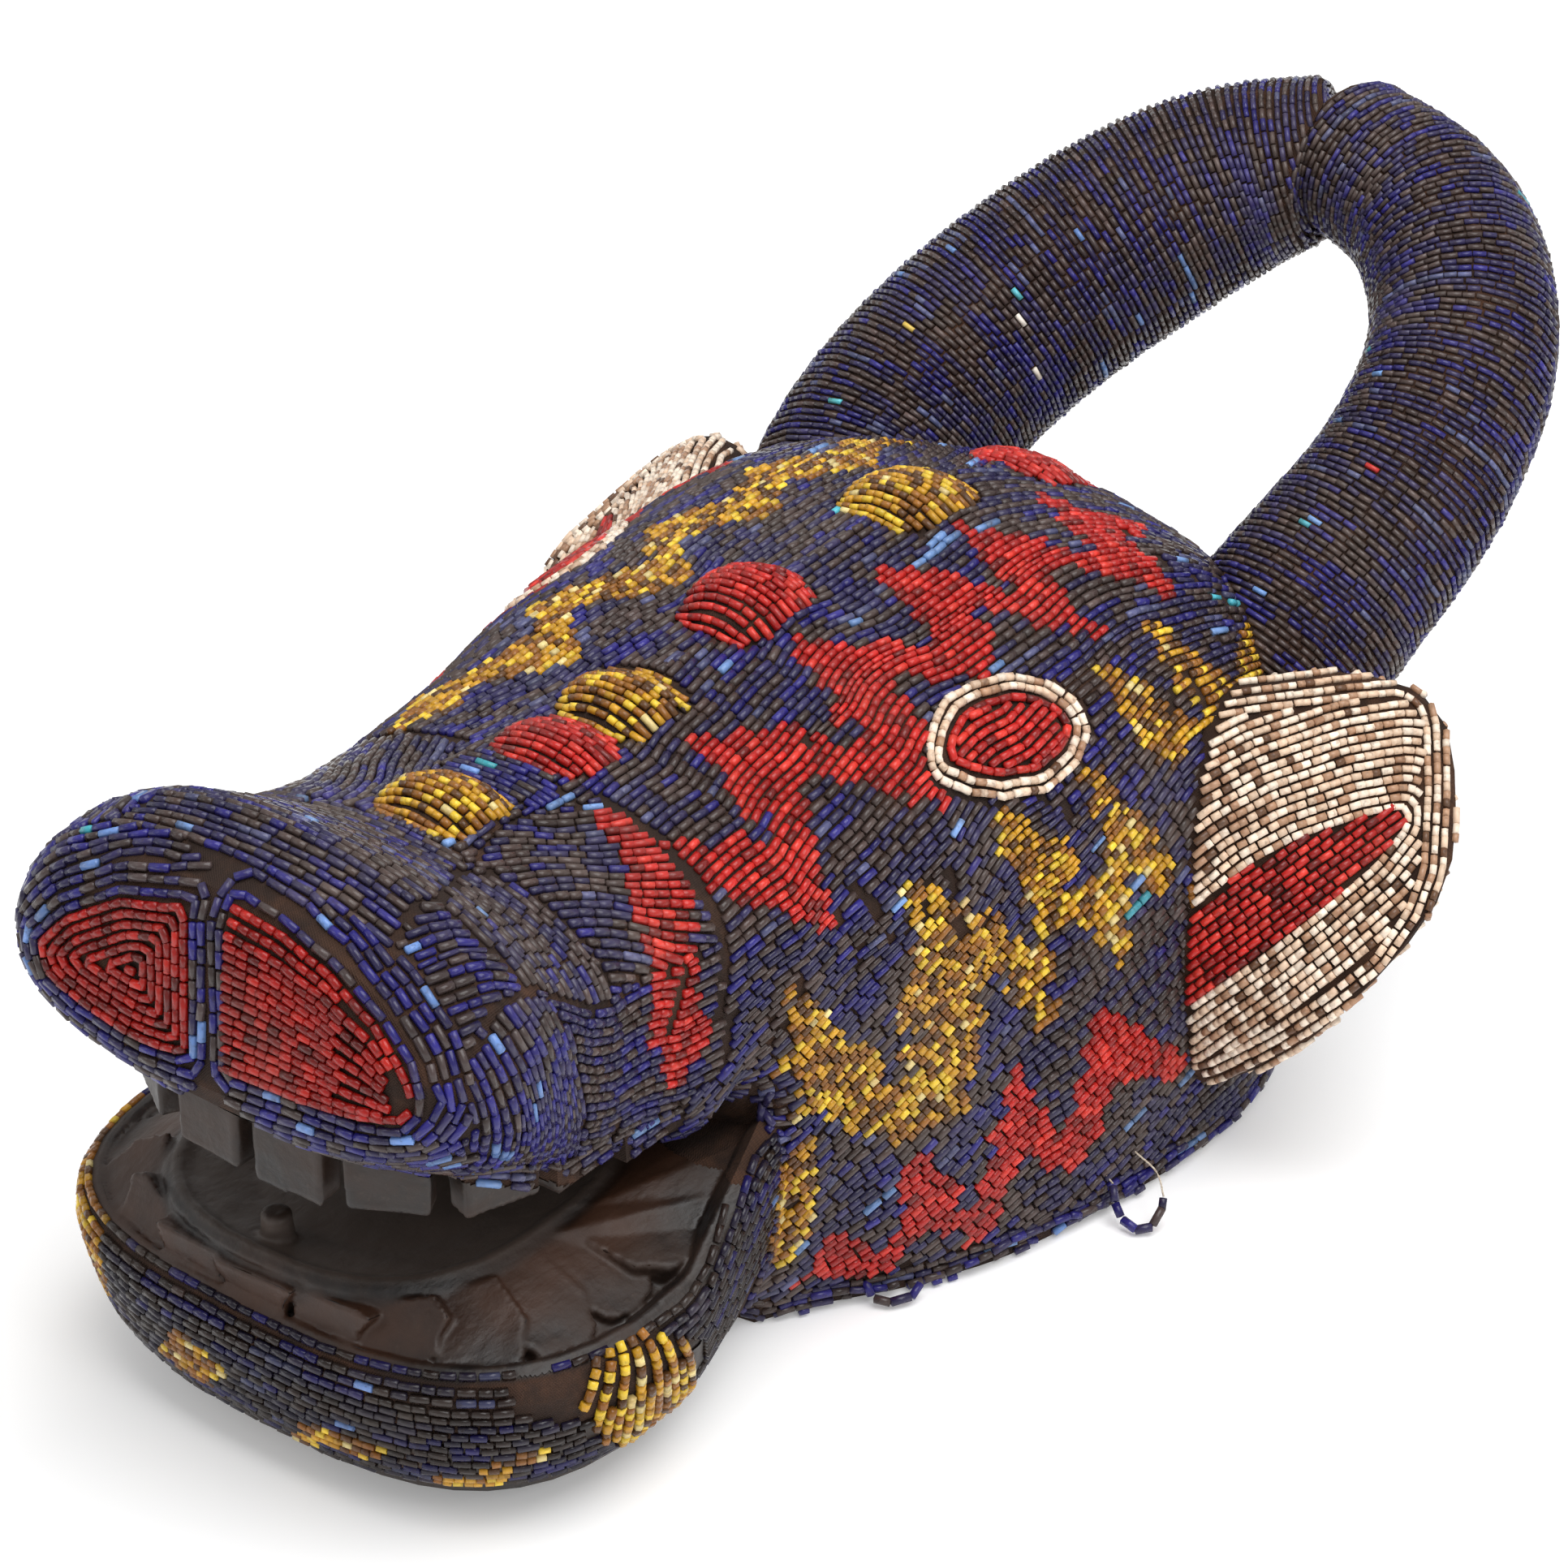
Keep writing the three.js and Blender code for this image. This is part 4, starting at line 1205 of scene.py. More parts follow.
def sewNoseFront():
    plan = noseFront
    strings = Strings("nose_front_beads", 41, plan["pitch"], plan["lift"])
    near, far, pitch = plan["near"], plan["far"], plan["pitch"]

    def sewLine(x, z, kinds, lift=None):
        points, normals = frontSpots(x, z)
        strings.sew(points, normals, np.broadcast_to(kinds, (len(x),)), lift=lift)

    # Both nostrils take the darker copy of red: painted shade
    for number in range(12):  # rings inside the far nostril, and one straight string in the middle
        loop = offsetLine(far, -(number + 0.5) * pitch, plan["farMiddle"])
        width, depth = np.ptp(loop, axis=0)
        if depth > 0.8 * pitch:
            sewLine(loop[:, 0], loop[:, 1], nostril, plan["nostrilLift"])
        elif width > pitch:
            x = np.linspace(*sorted(loop[:, 0])[::len(loop) - 1], 40)
            sewLine(x, np.full(40, loop[:, 1].mean()), nostril, plan["nostrilLift"])
            break
    upper, lower = np.array(plan["nearUpper"]).T, np.array(plan["nearLower"]).T
    x = np.arange(*plan["nearSpan"])
    top, foot = np.interp(x, *upper) - pitch / 2, np.interp(x, *lower) + pitch / 2
    count = int((top - foot).max() / pitch)
    room = (top - foot) / count
    for row in range(count + 1):  # rows between the edges of the near nostril
        z = top + (foot - top) * row / count
        stays = (room > plan["fullRoom"]) | ((row % 2 == 0) & (room > plan["halfRoom"])) | (row in (0, count))
        kinds = np.where(stays, nostril, bare)
        kinds[top - foot < 1] = bare
        sewLine(x, z, kinds, plan["nostrilLift"])
    for outline, other, middle in ((near, far, plan["nearMiddle"]), (far, near, plan["farMiddle"])):
        for number in range(2):  # blue round each
            x, z = offsetLine(outline, (number + 0.5) * pitch, middle).T
            own = distanceTo(x, z, outline) < distanceTo(x, z, other) - plan["between"]
            sewLine(x, z, np.where(own, cobalt, bare))
    loop = offsetLine([near, far], 1.5 * pitch, plan["middle"], 421)[:-1]
    for _ in range(plan["rings"]):  # blue round both
        loop = widerLoop(loop, pitch)
        x, z = np.concatenate([loop, loop[:1]]).T
        sewLine(x, z, cobalt)
    return strings


noseFrontStrings = sewNoseFront()
print("nose front strings", len(noseFrontStrings.places))


# Lower jaw: rows below the lip. Patterns are (degrees round the jaw from the front, height)


jawPlan = {
    "middle": (-11.0, -228.8), "half": 122.0, "front": 109.0, "rear": 132.0, "power": 3.0,  # seen from above
    "lip": (74.0, 104.0), "rise": (-239.8, -167.8),  # height at the front and the rear, and between which y
    "from": -121.0, "to": 121.0, "step": 1.0, "backY": -163.0,
    "inset": 24.0, "drop": 30.0, "reach": 46.0,  # the casts aim inside and below the lip, from this far
    "rearDrop": 16.0, "rearReach": 9.0,  # at the rear they aim lower and are longer
    "rises": (80, -72, -1.0),  # degrees of the casts: from, to, step
    "below": 1.0, "level": 15.0,  # the rows start below the lip, and are level down to here
    "facing": 0.3, "lowest": 1.2, "jump": 12.0,
    "pitch": 3.75, "lift": 0.8, "rows": 30, "firstRow": 0.4, "wander": 0.7,
}
jawPatterns = [
    [(-75, 80), (-37, 76), (-35, 58), (-37, 37), (-44, 30), (-75, 34)],
    [(-26, 32), (-16, 50), (-8, 47), (-9, 42), (-1, 41), (-7, 36), (-14, 24), (-20, 26)],
    [(7, 18), (14, 33), (18, 36), (31, 35), (30, 28), (18, 26), (12, 16)],
    [(38, 22), (40, 27), (47, 27), (48, 37), (58, 42), (58, 36), (51, 30), (50, 20), (46, 14), (42, 16)],
]
jawFan = {
    "outline": [(74, 73), (80, 66), (90, 52), (95, 34), (91, 20), (74, 20), (66, 36), (62, 58), (65, 71)],
    "strings": 13, "top": (66, 1.1), "foot": (61, 2.6),  # degrees of the first, and from one to the next
    "short": 0.36,  # every other string starts this far down
    "spread": 0.8, "bow": 3.5, "straight": 0.62,  # the strings bow away from the one at this share of the fan
    "length": 62, "pitch": 4.4, "lift": 1.5,
}
jawBare = [(52, 78), (64, 66), (61, 50), (51, 60)]


def jawColumn(degrees, plan):  # the skin below the lip, at one place round the jaw
    turn = math.radians(degrees)
    way = Vector((math.sin(turn), -math.cos(turn), 0))
    deep, power = plan["front"] if way.y < 0 else plan["rear"], plan["power"]
    reach = (abs(way.x / plan["half"]) ** power + abs(way.y / deep) ** power) ** (-1 / power)
    edge = Vector((*plan["middle"], 0)) + way * reach
    rear = float(smooth(*plan["rise"], edge.y))
    lip = plan["lip"][0] + (plan["lip"][1] - plan["lip"][0]) * rear
    anchor = edge - way * plan["inset"] + Vector((0, 0, lip - plan["drop"] - plan["rearDrop"] * rear))
    reach = plan["reach"] + plan["rearReach"] * rear
    line, faces = [], []
    for rise in np.arange(*plan["rises"]):
        ray = way * math.cos(math.radians(rise)) + Vector((0, 0, math.sin(math.radians(rise))))
        place, normal = headSkin.hit(anchor + ray * reach, -ray, reach)
        if place is None or place.z < plan["lowest"]:
            continue
        if not line and (normal.dot(way) < plan["facing"] or place.z > lip - plan["below"]):
            continue
        if line and (place - line[-1]).length > plan["jump"]:
            break
        line.append(place)
        faces.append(normal)
    return np.array(line), np.array(faces), lip - plan["level"]


def weaveJawNet(plan):
    us = np.arange(plan["from"], plan["to"] + 0.1, plan["step"])
    vs = np.arange(0, plan["rows"] * plan["pitch"] + 8, 1.5)
    points = np.full((len(us), len(vs), 3), np.nan)
    normals = np.full((len(us), len(vs), 3), np.nan)
    for i, degrees in enumerate(us):
        line, faces, level = jawColumn(degrees, plan)
        if len(line) < 4:
            continue
        crest = int(np.argmax(line[:, 2]))
        line, faces = line[crest:], faces[crest:]
        height = np.minimum.accumulate(line[:, 2])
        arc = arcLengths(line)
        deep = np.interp(-level, -height, arc)
        arc = np.where(height > level, level - height, arc - deep) + plan["level"] - plan["below"]
        chosen = (vs <= arc[-1]) & (vs >= arc[0] - 1)
        points[i, chosen] = readLine(vs[chosen], arc, line)
        normals[i, chosen] = readLine(vs[chosen], arc, faces)
        points[i, points[i, :, 1] > plan["backY"]] = np.nan
    return Net(us, vs, points, normals)


def sewJawRows(strings, jaw, plan):
    u = np.arange(plan["from"], plan["to"], 0.5)
    for row in range(plan["rows"]):
        v = np.full(len(u), (row + plan["firstRow"]) * plan["pitch"])
        v = np.maximum(v + wander(u * 0.7, v * 0.9, plan["wander"]), 0.3)
        points, normals = jaw.at(u, v)
        height = points[:, 2]
        # The jaw rows take the darker copy of indigo: painted shade
        kinds = np.full(len(u), shadedIndigo)
        for pattern in jawPatterns:
            kinds[inside(u, height, pattern)] = yellow
        kinds[inside(u, height, jawFan["outline"]) | inside(u, height, jawBare)] = bare
        strings.sew(points, normals, kinds)


def sewJawFan(strings, jaw, fan):  # from the lip down, with more strings where the fan widens
    for number in range(fan["strings"]):
        share = np.linspace(fan["short"] if number % 2 else 0.0, 1, 60)
        top, foot = (first + number * step for first, step in (fan["top"], fan["foot"]))
        bow = fan["bow"] * np.sin(share * math.pi) * (number / fan["strings"] - fan["straight"])
        u = top + (foot - top) * share ** fan["spread"] + bow
        points, normals = jaw.at(u, 1.0 + share * fan["length"])
        kinds = np.where(inside(u, points[:, 2], fan["outline"]), yellow, bare)
        strings.sew(points, normals, kinds, fan["pitch"], fan["lift"])


def sewJaw():
    strings = Strings("lower_jaw_beads", 51, jawPlan["pitch"], jawPlan["lift"])
    jaw = weaveJawNet(jawPlan)
    sewJawRows(strings, jaw, jawPlan)
    sewJawFan(strings, jaw, jawFan)
    return strings


jawStrings = sewJaw()
print("jaw strings", len(jawStrings.places))


# Horns: rings of beads round a curve from the head to the crease


hornPlan = {
    "root": (207.0, 174.0), "tip": (368.0, 275.0),  # (y, z) in the carving's first frame
    "shift": -43.769,  # from that frame to the mask's own
    "left": {"across": [94, 101, 108, 96, 56, 0], "along": [-62, -4, 62, 124, 172, 193]},
    "right": {"across": [99, 108, 98, 70, 36, 0], "along": [-62, -7, 54, 117, 164, 191]},
    "pitch": 3.0, "lift": 0.55, "clear": 1.4, "fill": (0.75, 0.84),
    "castFrom": 75.0, "everyDegrees": 5,
    "cap": {"radii": (2, 34), "castFrom": 30, "facing": 0.6},  # the end that faces the other horn
    "bright": {"right": (1356, 350)},  # three strings of brighter blue, by a spot of theirs in the photo
    "accents": [  # place, colour
        ((-65, 193, 229), (240, 230, 218)), ((-57, 194, 209), (236, 226, 212)),
        ((-101, 167, 228), (222, 190, 90)), ((-108, 131, 206), (96, 196, 206)),
        ((-70, 199, 239), (92, 186, 200)), ((112, 178, 228), (190, 46, 42)),
        ((104, 150, 214), (120, 160, 214)), ((100, 120, 190), (112, 150, 206)),
        ((86, 212, 250), (116, 156, 210)),
    ],
}


def sewHorn(word, side, seed):
    plan, cap = hornPlan, hornPlan["cap"]
    strings = Strings(f"{word}_horn_beads", seed, plan["pitch"], plan["lift"], plan["fill"])
    skin = Skin(f"{word}_horn")
    (rootY, rootZ), (tipY, tipZ) = plan["root"], plan["tip"]
    slope = math.atan2(tipZ - rootZ, tipY - rootY)
    corners = [
        (side * x, rootY + plan["shift"] + far * math.cos(slope), rootZ + far * math.sin(slope))
        for x, far in zip(plan[word]["across"], plan[word]["along"])
    ]
    _, length = curveThrough(corners, 10)
    rings = int(length / plan["pitch"])
    line, _ = curveThrough(corners, rings)
    ways = np.gradient(line, axis=0)
    up = Vector((0, -math.sin(slope), math.cos(slope)))
    bright = None
    if word in plan["bright"]:
        away = np.array(photoSpots(line)) - np.array(plan["bright"][word])[:, None]
        bright = np.argmin(np.hypot(*away))

    def offHead(place, normal):
        return headSkin.gap(place) >= plan["clear"]

    turns = [math.radians(degrees) for degrees in range(0, 360 + plan["everyDegrees"], plan["everyDegrees"])]
    for number in range(1, rings):
        way = Vector(ways[number]).normalized()
        out = way.cross(up).normalized()
        rays = [out * math.cos(turn) + up * math.sin(turn) for turn in turns]
        rays = [(Vector(line[number]) + ray * plan["castFrom"], -ray) for ray in rays]
        points, normals = castOnto(skin, rays, offHead, plan["castFrom"])
        kind = cobalt if bright is not None and abs(number - bright) < 2 else ring
        strings.sew(points, normals, np.full(len(points), kind))
    way = Vector(ways[-1]).normalized()
    out = way.cross(up).normalized()

    def onCap(place, normal):
        return normal.dot(way) > cap["facing"]

    for radius in np.arange(*cap["radii"], plan["pitch"]):
        rays = []
        for turn in np.linspace(0, 2 * math.pi, 12 + int(radius * 2)):
            spot = Vector(line[-1]) + (out * math.cos(turn) + way.cross(out) * math.sin(turn)) * radius
            rays.append((spot + way * cap["castFrom"], -way))
        points, normals = castOnto(skin, rays, onCap, 2 * cap["castFrom"])
        strings.sew(points, normals, np.full(len(points), ring))
    for place, colour in plan["accents"]:
        if place[0] * side > 0:
            strings.recolour(place, colour)
    return strings


hornStrings = [sewHorn("left", 1, 21), sewHorn("right", -1, 22)]
print("horn strings", [len(strings.places) for strings in hornStrings])


# Ears: strings bent round the red inner field


earPlan = {
    "centre": (161.5, 62.0, 126.3), "long": (0.875, 0.48, 0.06), "tall": (-0.277, 0.397, 0.875),
    "out": (0.396, -0.782, 0.481),
    "outline": [(-78, 13), (-72, 33), (-58, 56), (-21, 64), (17, 70), (36, 72), (48, 65), (53, 53), (55, 27),
                (55, -3), (49, -21), (36, -41), (18, -56), (-5, -72), (-29, -86), (-66, -96),
                (-70, -30)],  # runs on into the head
    "middle": (5, 0), "border": 3, "beyond": 2,  # strings that follow the edge, on the ear and past it
    "field": [(-46, -22), (-37, -18), (-18, -2), (-1, 8), (23, 17), (38, 20), (38, 14), (28, 0), (8, -18),
              (-14, -36), (-36, -52), (-46, -60)],
    "fieldMiddle": (-12, -14), "farthest": 92, "turn": 38,
    "back": [(-70, -95), (70, -95), (70, 85), (-70, 85)],
    "pitch": 3.4, "lift": 0.7, "clear": 2.4, "reach": 62,
}


def sewEar(word, side, seed):
    plan, pitch = earPlan, earPlan["pitch"]
    strings = Strings(f"{word}_ear_beads", seed, pitch, plan["lift"])
    skin = Skin(f"{word}_ear")
    flip = np.array([side, 1, 1])
    centre, long, tall, out = (np.array(plan[key]) * flip for key in ("centre", "long", "tall", "out"))

    def offHead(place, normal):
        return headSkin.gap(place) >= plan["clear"]

    def sewLine(p, q, kinds, face=1):
        off = out * face * plan["reach"]
        rays = [(centre + long * a + tall * b + off, -out * face) for a, b in zip(p, q)]
        points, normals = castOnto(skin, rays, offHead, 2 * plan["reach"])
        strings.sew(points, normals, np.broadcast_to(kinds, (len(p),)))

    for away in np.arange(pitch / 2, plan["farthest"], pitch):  # cream round the red field
        p, q = offsetLine(plan["field"], away, plan["fieldMiddle"]).T
        within = distanceTo(p, q, plan["outline"]) < -(plan["border"] + 0.1) * pitch
        sewLine(p, q, np.where(within, cream, bare))
    for number in range(-plan["beyond"], plan["border"]):  # cream along the edge
        p, q = offsetLine(plan["outline"], -(number + 0.5) * pitch, plan["middle"]).T
        sewLine(p, q, cream)
    for p, q in fibreLines(plan["field"], plan["turn"], pitch):  # the red field
        sewLine(p, q, np.where(inside(p, q, plan["field"]), red, bare))
    for p, q in fibreLines(plan["back"], plan["turn"], pitch, 3):  # plain rows behind
        sewLine(p, q, cream, -1)
    return strings


earStrings = [sewEar("left", 1, 31), sewEar("right", -1, 32)]
print("ear strings", [len(strings.places) for strings in earStrings])


# Nape: plain rows across the back of the head


napePlan = {
    "low": 4.0, "high": 215.0, "half": 124.0, "step": 2.0, "behindY": 260.0, "frontY": 128.0,
    "facing": 0.55, "clear": 2, "pitch": 3.7, "lift": 0.8,
}


def sewNape(plan):
    strings = Strings("nape_beads", 61, plan["pitch"], plan["lift"])
    horns = [Skin("left_horn"), Skin("right_horn")]

    def kept(place, normal):
        behind = place.y > plan["frontY"] and normal.y > plan["facing"]
        return behind and all(horn.gap(place) > plan["clear"] for horn in horns)

    x = np.arange(-plan["half"], plan["half"], plan["step"])
    for z in np.arange(plan["low"], plan["high"], plan["pitch"]):
        points, normals = castOnto(headSkin, [((a, plan["behindY"], z), (0, -1, 0)) for a in x], kept)
        strings.sew(points, normals, np.full(len(x), slate))
    return strings


napeStrings = sewNape(napePlan)
print("nape strings", len(napeStrings.places))


# Geometry Nodes: a bead on every point, turned along its string


beadShape = {
    "sides": 6, "body": 0.88, "ringBody": 0.95,  # straight shares of the length, the second for the horns
    "worn": 0.04,  # how much smaller a bead can be than its place
    "cellEdge": 0.08, "cellShare": 0.84,  # of its square in the piece's map
}


def beadTree(name):
    tree = bpy.data.node_groups.new(name, "GeometryNodeTree")
    face = tree.interface
    face.new_socket("Strings", in_out="INPUT", socket_type="NodeSocketGeometry")
    for label, kind, value in (
        ("Sides", "NodeSocketInt", beadShape["sides"]),
        ("Body Length", "NodeSocketFloat", beadShape["body"]),
        ("Worn Size", "NodeSocketFloat", beadShape["worn"]),
        ("Seed", "NodeSocketInt", 7),
    ):
        face.new_socket(label, in_out="INPUT", socket_type=kind).default_value = value
    face.new_socket("Glass", in_out="INPUT", socket_type="NodeSocketMaterial")
    face.new_socket("Beads", in_out="OUTPUT", socket_type="NodeSocketGeometry")

    def add(kind, settings=None, values=None):
        made = tree.nodes.new(kind)
        for key, value in (settings or {}).items():
            setattr(made, key, value)
        for key, value in (values or {}).items():
            socket = made.inputs[key]
            if isinstance(value, bpy.types.NodeSocket):
                tree.links.new(value, socket)
            else:
                socket.default_value = value
        return made

    entry = tree.nodes.new("NodeGroupInput")
    leave = tree.nodes.new("NodeGroupOutput")
    body = add("GeometryNodeMeshCylinder", {"fill_type": "TRIANGLE_FAN"},
               {"Vertices": entry.outputs["Sides"], "Side Segments": 1, "Radius": 0.5,
                "Depth": entry.outputs["Body Length"]})
    place = add("GeometryNodeInputPosition")
    parts = add("ShaderNodeSeparateXYZ", values={0: place.outputs[0]})
    flatX = add("ShaderNodeMath", {"operation": "ABSOLUTE"}, {0: parts.outputs[0]})
    flatY = add("ShaderNodeMath", {"operation": "ABSOLUTE"}, {0: parts.outputs[1]})
    spread = add("ShaderNodeMath", {"operation": "ADD"}, {0: flatX.outputs[0], 1: flatY.outputs[0]})
    pole = add("FunctionNodeCompare", {"data_type": "FLOAT", "operation": "LESS_THAN"},
               {"A": spread.outputs[0], "B": 0.01})  # the middle of each end, drawn out to a low point
    end = add("ShaderNodeMath", {"operation": "SIGN"}, {0: parts.outputs[2]})
    tip = add("ShaderNodeMath", {"operation": "MULTIPLY"}, {0: end.outputs[0], 1: 0.5})
    tipPlace = add("ShaderNodeCombineXYZ", values={2: tip.outputs[0]})
    shaped = add("GeometryNodeSetPosition", values={
        "Geometry": body.outputs["Mesh"], "Selection": pole.outputs[0], "Position": tipPlace.outputs[0]})
    smoothed = add("GeometryNodeSetShadeSmooth", values={"Geometry": shaped.outputs[0]})
    charted = add("GeometryNodeStoreNamedAttribute", {"data_type": "FLOAT2", "domain": "CORNER"},
                  {"Geometry": smoothed.outputs[0], "Name": "OFBake", "Value": body.outputs["UV Map"]})
    way = add("GeometryNodeInputNamedAttribute", {"data_type": "FLOAT_VECTOR"}, {"Name": "stringWay"})
    turned = add("FunctionNodeAlignRotationToVector", {"axis": "Z"}, {"Vector": way.outputs["Attribute"]})
    size = add("GeometryNodeInputNamedAttribute", {"data_type": "FLOAT_VECTOR"}, {"Name": "beadSize"})
    worn = add("FunctionNodeRandomValue", {"data_type": "FLOAT"}, {"Seed": entry.outputs["Seed"]})
    less = add("ShaderNodeMath", {"operation": "SUBTRACT"}, {0: 1.0, 1: entry.outputs["Worn Size"]})
    tree.links.new(less.outputs[0], worn.inputs[2])
    worn.inputs[3].default_value = 1.0
    scaled = add("ShaderNodeVectorMath", {"operation": "SCALE"},
                 {0: size.outputs["Attribute"], "Scale": worn.outputs[1]})
    placed = add("GeometryNodeInstanceOnPoints", values={
        "Points": entry.outputs["Strings"], "Instance": charted.outputs[0], "Rotation": turned.outputs[0],
        "Scale": scaled.outputs[0]})
    real = add("GeometryNodeRealizeInstances", values={"Geometry": placed.outputs[0]})
    finished = add("GeometryNodeSetMaterial", values={
        "Geometry": real.outputs[0], "Material": entry.outputs["Glass"]})
    tree.links.new(finished.outputs[0], leave.inputs[0])
    return tree


threading = beadTree("beadsOnStrings")


def finishPiece(name, mesh):
    piece = bpy.data.objects.new(name, mesh)
    bpy.context.scene.collection.objects.link(piece)
    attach(piece, "root")
    return piece


def makeBeads(strings, seed, body):
    count = len(strings.places)
    mesh = bpy.data.meshes.new(strings.name + "_points")
    mesh.from_pydata((np.array(strings.places) * mm).tolist(), [], [])
    for name, kind, key, values in (
        ("stringWay", "FLOAT_VECTOR", "vector", strings.ways),
        ("beadSize", "FLOAT_VECTOR", "vector", np.array(strings.sizes) * mm),
        ("beadColour", "FLOAT_COLOR", "color", strings.colours),
    ):
        mesh.attributes.new(name, kind, "POINT").data.foreach_set(key, np.array(values, np.float32).ravel())
    holder = bpy.data.objects.new(strings.name + "_points", mesh)
    bpy.context.scene.collection.objects.link(holder)
    modifier = holder.modifiers.new("beads", "NODES")
    modifier.node_group = threading
    items = threading.interface.items_tree
    sockets = {item.name: item.identifier for item in items if item.in_out == "INPUT"}
    modifier[sockets["Glass"]] = beadPaint
    modifier[sockets["Seed"]] = seed
    modifier[sockets["Body Length"]] = body
    graph = bpy.context.evaluated_depsgraph_get()
    made = bpy.data.meshes.new_from_object(holder.evaluated_get(graph))
    made.name = strings.name
    bpy.data.objects.remove(holder)
    spreadCells(made, count)
    for name in ("stringWay", "beadSize"):
        if name in made.attributes:
            made.attributes.remove(made.attributes[name])
    return finishPiece(strings.name, made)


def spreadCells(mesh, count):  # every bead gets its own square of the piece's map
    layer = mesh.uv_layers["OFBake"]
    flat = np.zeros(len(mesh.loops) * 2, np.float32)
    layer.data.foreach_get("uv", flat)
    flat = flat.reshape(count, -1, 2)
    columns = math.ceil(math.sqrt(count))
    cell = np.stack([np.arange(count) % columns, np.arange(count) // columns], 1)[:, None, :]
    flat = (cell + beadShape["cellEdge"] + flat * beadShape["cellShare"]) / columns
    layer.data.foreach_set("uv", flat.astype(np.float32).ravel())


pieces = []
for seed, (strings, slot) in enumerate([
    (headStrings[1], "indigo_beads"), (headStrings[-1], "indigo_beads"),
    (noseFrontStrings, "indigo_beads"), (jawStrings, "indigo_beads"), (napeStrings, "indigo_beads"),
    (hornStrings[0], "indigo_beads"), (hornStrings[1], "indigo_beads"),
    (earStrings[0], "cream_beads"), (earStrings[1], "cream_beads"),
]):
    body = beadShape["ringBody"] if strings in hornStrings else beadShape["body"]
    pieces.append(makeBeads(strings, seed, body))
    print(strings.name, len(strings.places), "beads", len(pieces[-1].data.polygons), "faces")


# The mouth: the carving again, with soft worn edges and the marks of the knife


mouthPlan = {
    "voxel": 1.2, "weld": 0.02, "margin": 8,  # margin is worked with the rest and cut off at the end
    "rounds": 1, "edgeMeasureRounds": 6, "pull": 0.6,  # rounds of softening of the shape, and of the edges' measure
    "proud": 0.45, "crisp": 0.8,  # off the carving, and how much of what was worn off comes back
    "dents": 0.35, "dentSize": 9.0, "grain": 0.12, "grainSize": (1.6, 5.5, 1.6),
    "middle": (-11.0, -228.8), "half": 118.5, "front": 105.5, "rear": 64.0, "power": 3.0,
    "lowest": 24.0, "lipY": -194.0, "lipZ": 93.0, "lipSlope": 0.472, "toothZ": 88.0, "overbite": 9.5,
}


def shareMean(values, pairs, count):  # the mean of every point's neighbours
    total = np.zeros_like(values)
    for a, b in (pairs, pairs[::-1]):
        for axis in range(values.shape[1]):
            total[:, axis] += np.bincount(a, values[b, axis], count)
    return total / np.maximum(np.bincount(pairs.ravel(), minlength=count), 1)[:, None]


def pointNormals(points, quads):
    across = np.cross(points[quads[:, 2]] - points[quads[:, 0]], points[quads[:, 3]] - points[quads[:, 1]])
    normals = np.zeros_like(points)
    for corner in range(4):
        for axis in range(3):
            normals[:, axis] += np.bincount(quads[:, corner], across[:, axis], len(points))
    return normals / np.maximum(np.linalg.norm(normals, axis=1), 1e-9)[:, None]


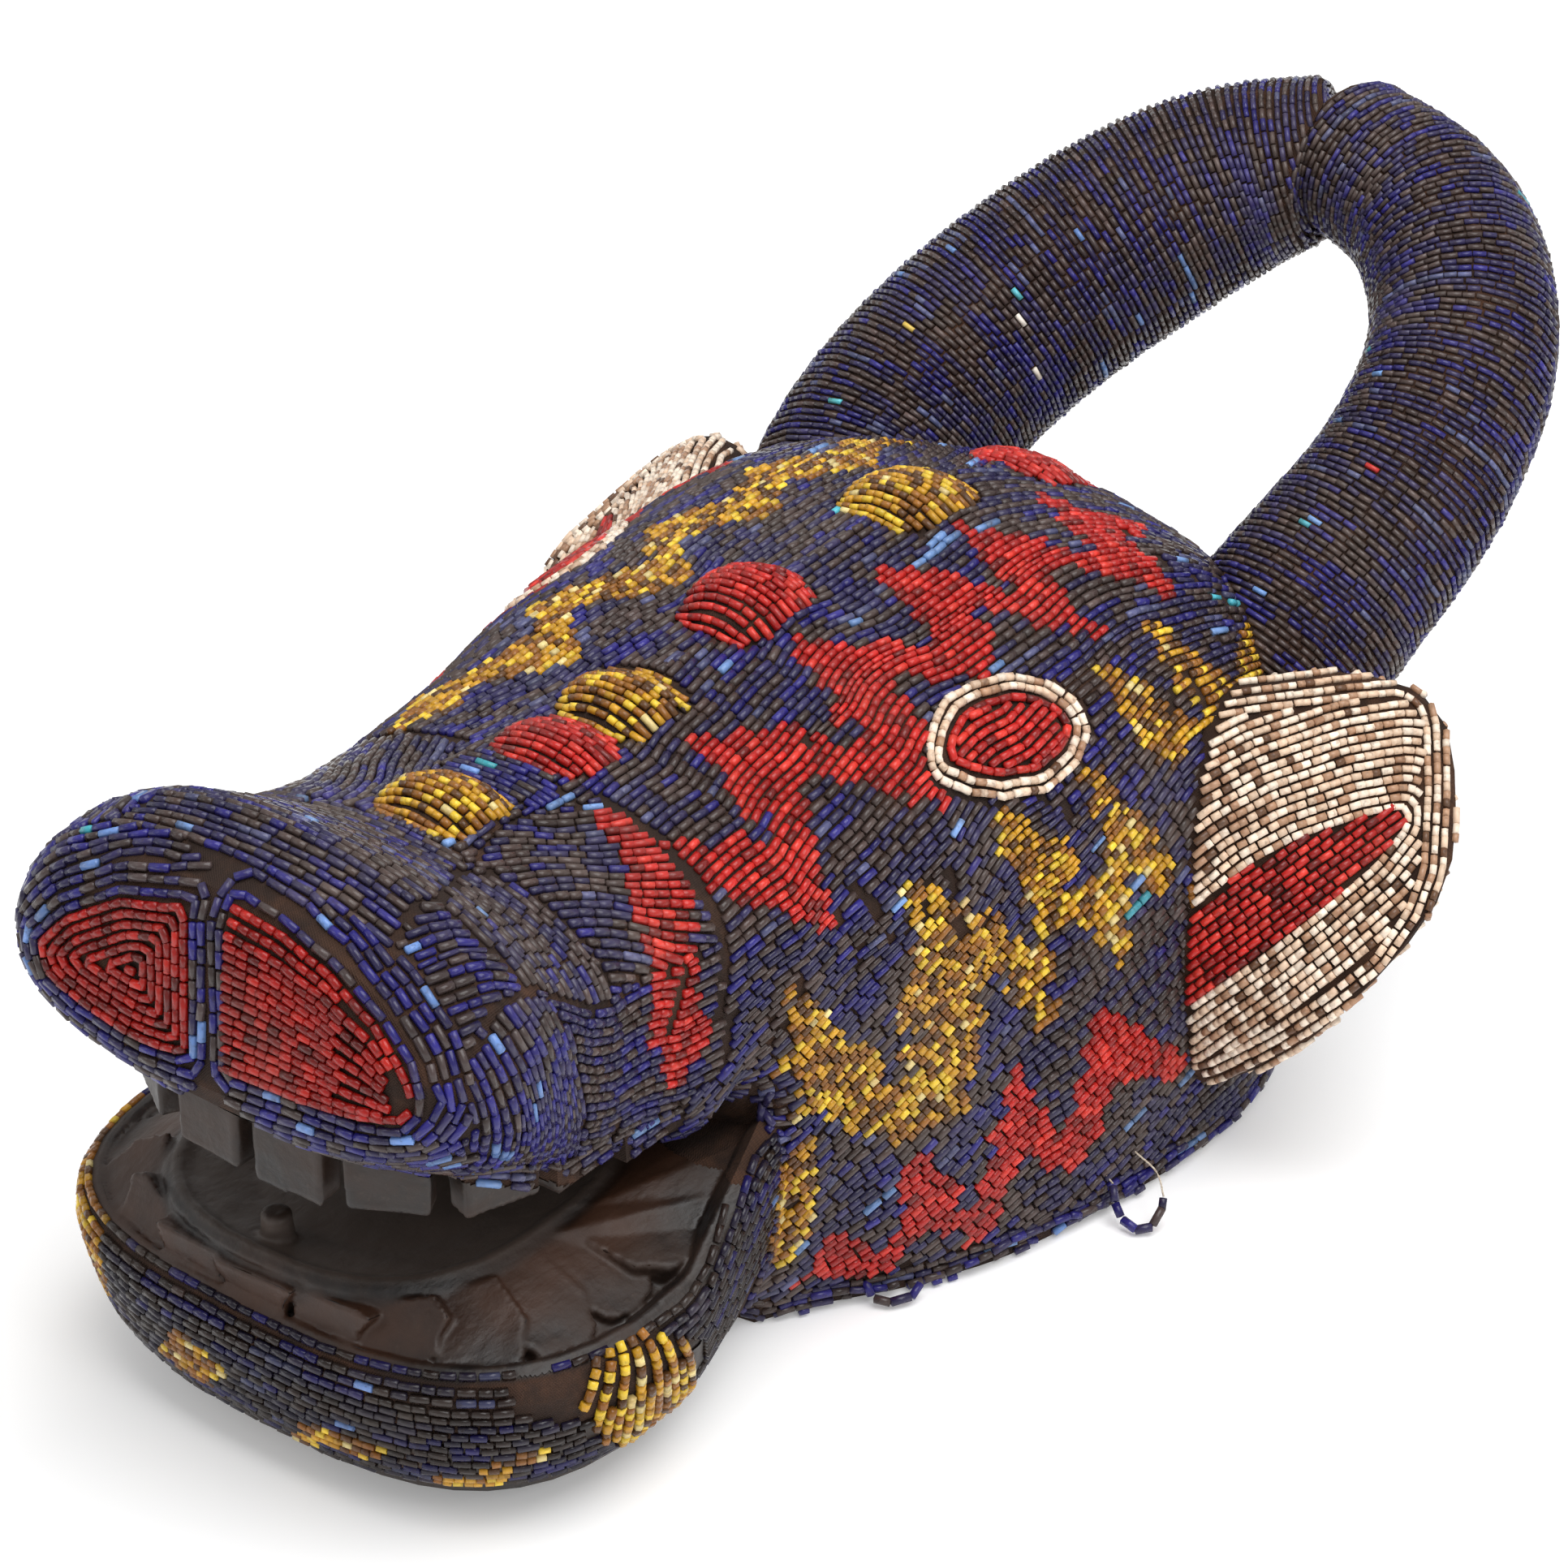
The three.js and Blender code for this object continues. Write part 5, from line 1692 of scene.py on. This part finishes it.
def carveMouth(plan):
    form = bmesh.new()
    form.from_mesh(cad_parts["carved_head"].data)
    bmesh.ops.remove_doubles(form, verts=form.verts, dist=plan["weld"] * mm)
    mesh = bpy.data.meshes.new("mouth_form")
    form.to_mesh(mesh)
    form.free()
    holder = bpy.data.objects.new("mouth_form", mesh)
    bpy.context.scene.collection.objects.link(holder)
    remesh = holder.modifiers.new("remesh", "REMESH")
    remesh.mode = "VOXEL"
    remesh.voxel_size = plan["voxel"] * mm
    made = bpy.data.meshes.new_from_object(holder.evaluated_get(bpy.context.evaluated_depsgraph_get()))
    bpy.data.objects.remove(holder)
    points = np.zeros(len(made.vertices) * 3)
    made.vertices.foreach_get("co", points)
    quads = np.zeros(len(made.polygons) * 4, int)
    made.loops.foreach_get("vertex_index", quads)
    points, quads = points.reshape(-1, 3) / mm, quads.reshape(-1, 4)

    def keep(margin):  # which faces lie in the mouth
        x, y, z = points[quads].mean(axis=1).T
        front = plan["front"] + (z > plan["toothZ"]) * plan["overbite"]
        deep = np.where(y < plan["middle"][1], front, plan["rear"]) + margin
        plane = np.abs((x - plan["middle"][0]) / (plan["half"] + margin)) ** plan["power"]
        plane = plane + np.abs((y - plan["middle"][1]) / deep) ** plan["power"]
        lip = plan["lipZ"] + (plan["lipY"] - y) * plan["lipSlope"]
        return (plane < 1) & (z > plan["lowest"] - margin) & (z < lip + margin)

    quads = quads[keep(plan["margin"])]
    used, quads = np.unique(quads, return_inverse=True)
    points, quads = points[used], quads.reshape(-1, 4)
    pairs = np.concatenate([quads[:, [i, (i + 1) % 4]] for i in range(4)]).T
    sharp, soft = points.copy(), points.copy()
    for number in range(plan["edgeMeasureRounds"]):
        soft = soft * (1 - plan["pull"]) + shareMean(soft, pairs, len(soft)) * plan["pull"]
        if number < plan["rounds"]:
            points = soft
    normals = pointNormals(points, quads)
    worn = np.einsum("ij,ij->i", sharp - soft, pointNormals(soft, quads))
    for _ in range(2):
        worn = worn * 0.5 + shareMean(worn[:, None], pairs, len(points))[:, 0] * 0.5
    marks = np.array([noise.noise(Vector(p) / plan["dentSize"]) * plan["dents"]
                      + noise.noise(Vector(p / plan["grainSize"])) * plan["grain"] for p in points])
    points = points + normals * (plan["proud"] + marks + worn * plan["crisp"])[:, None]
    quads = quads[keep(0)]
    used, quads = np.unique(quads, return_inverse=True)
    points, worn, quads = points[used], worn[used], quads.reshape(-1, 4)
    skin = bpy.data.meshes.new("mouth_carving")
    skin.from_pydata((points * mm).tolist(), [], quads.tolist())
    skin.polygons.foreach_set("use_smooth", [True] * len(skin.polygons))
    # This measure paints the wood: edges lighter, with wear and a painted highlight, and hollows darker, with
    # painted shade
    skin.attributes.new("edgeWearAndHollowShade", "FLOAT", "POINT").data.foreach_set("value", worn.astype(np.float32))
    skin.materials.append(woodPaint)
    return finishPiece("mouth_carving", skin)


pieces.append(carveMouth(mouthPlan))
print("mouth carving", len(pieces[-1].data.polygons), "faces")


# Threads of the loose ends


threadPlan = {"radius": 0.35, "sides": 6, "points": 16}


def makeThreads(lines, plan):
    corners, faces, sides = [], [], plan["sides"]
    for line in lines:
        points, _ = curveThrough(line, plan["points"])
        ways = np.gradient(points, axis=0)
        for place, way in zip(points, ways):
            way = Vector(way).normalized()
            side = way.orthogonal().normalized()
            up = way.cross(side)
            for turn in np.linspace(0, 2 * math.pi, sides, endpoint=False):
                corners.append(Vector(place) + (side * math.cos(turn) + up * math.sin(turn)) * plan["radius"])
        first = len(corners) - len(points) * sides
        for start in range(first, len(corners) - sides, sides):
            for k in range(sides):
                a, b = start + k, start + (k + 1) % sides
                faces.append((a, b, b + sides, a + sides))
        faces.append([first + k for k in reversed(range(sides))])
        faces.append([len(corners) - sides + k for k in range(sides)])
    mesh = bpy.data.meshes.new("loose_threads")
    mesh.from_pydata([tuple(corner * mm) for corner in corners], [], faces)
    mesh.polygons.foreach_set("use_smooth", [True] * len(mesh.polygons))
    mesh.materials.append(threadPaint)
    return finishPiece("loose_threads", mesh)


pieces.append(makeThreads(borderPlan["threads"], threadPlan))
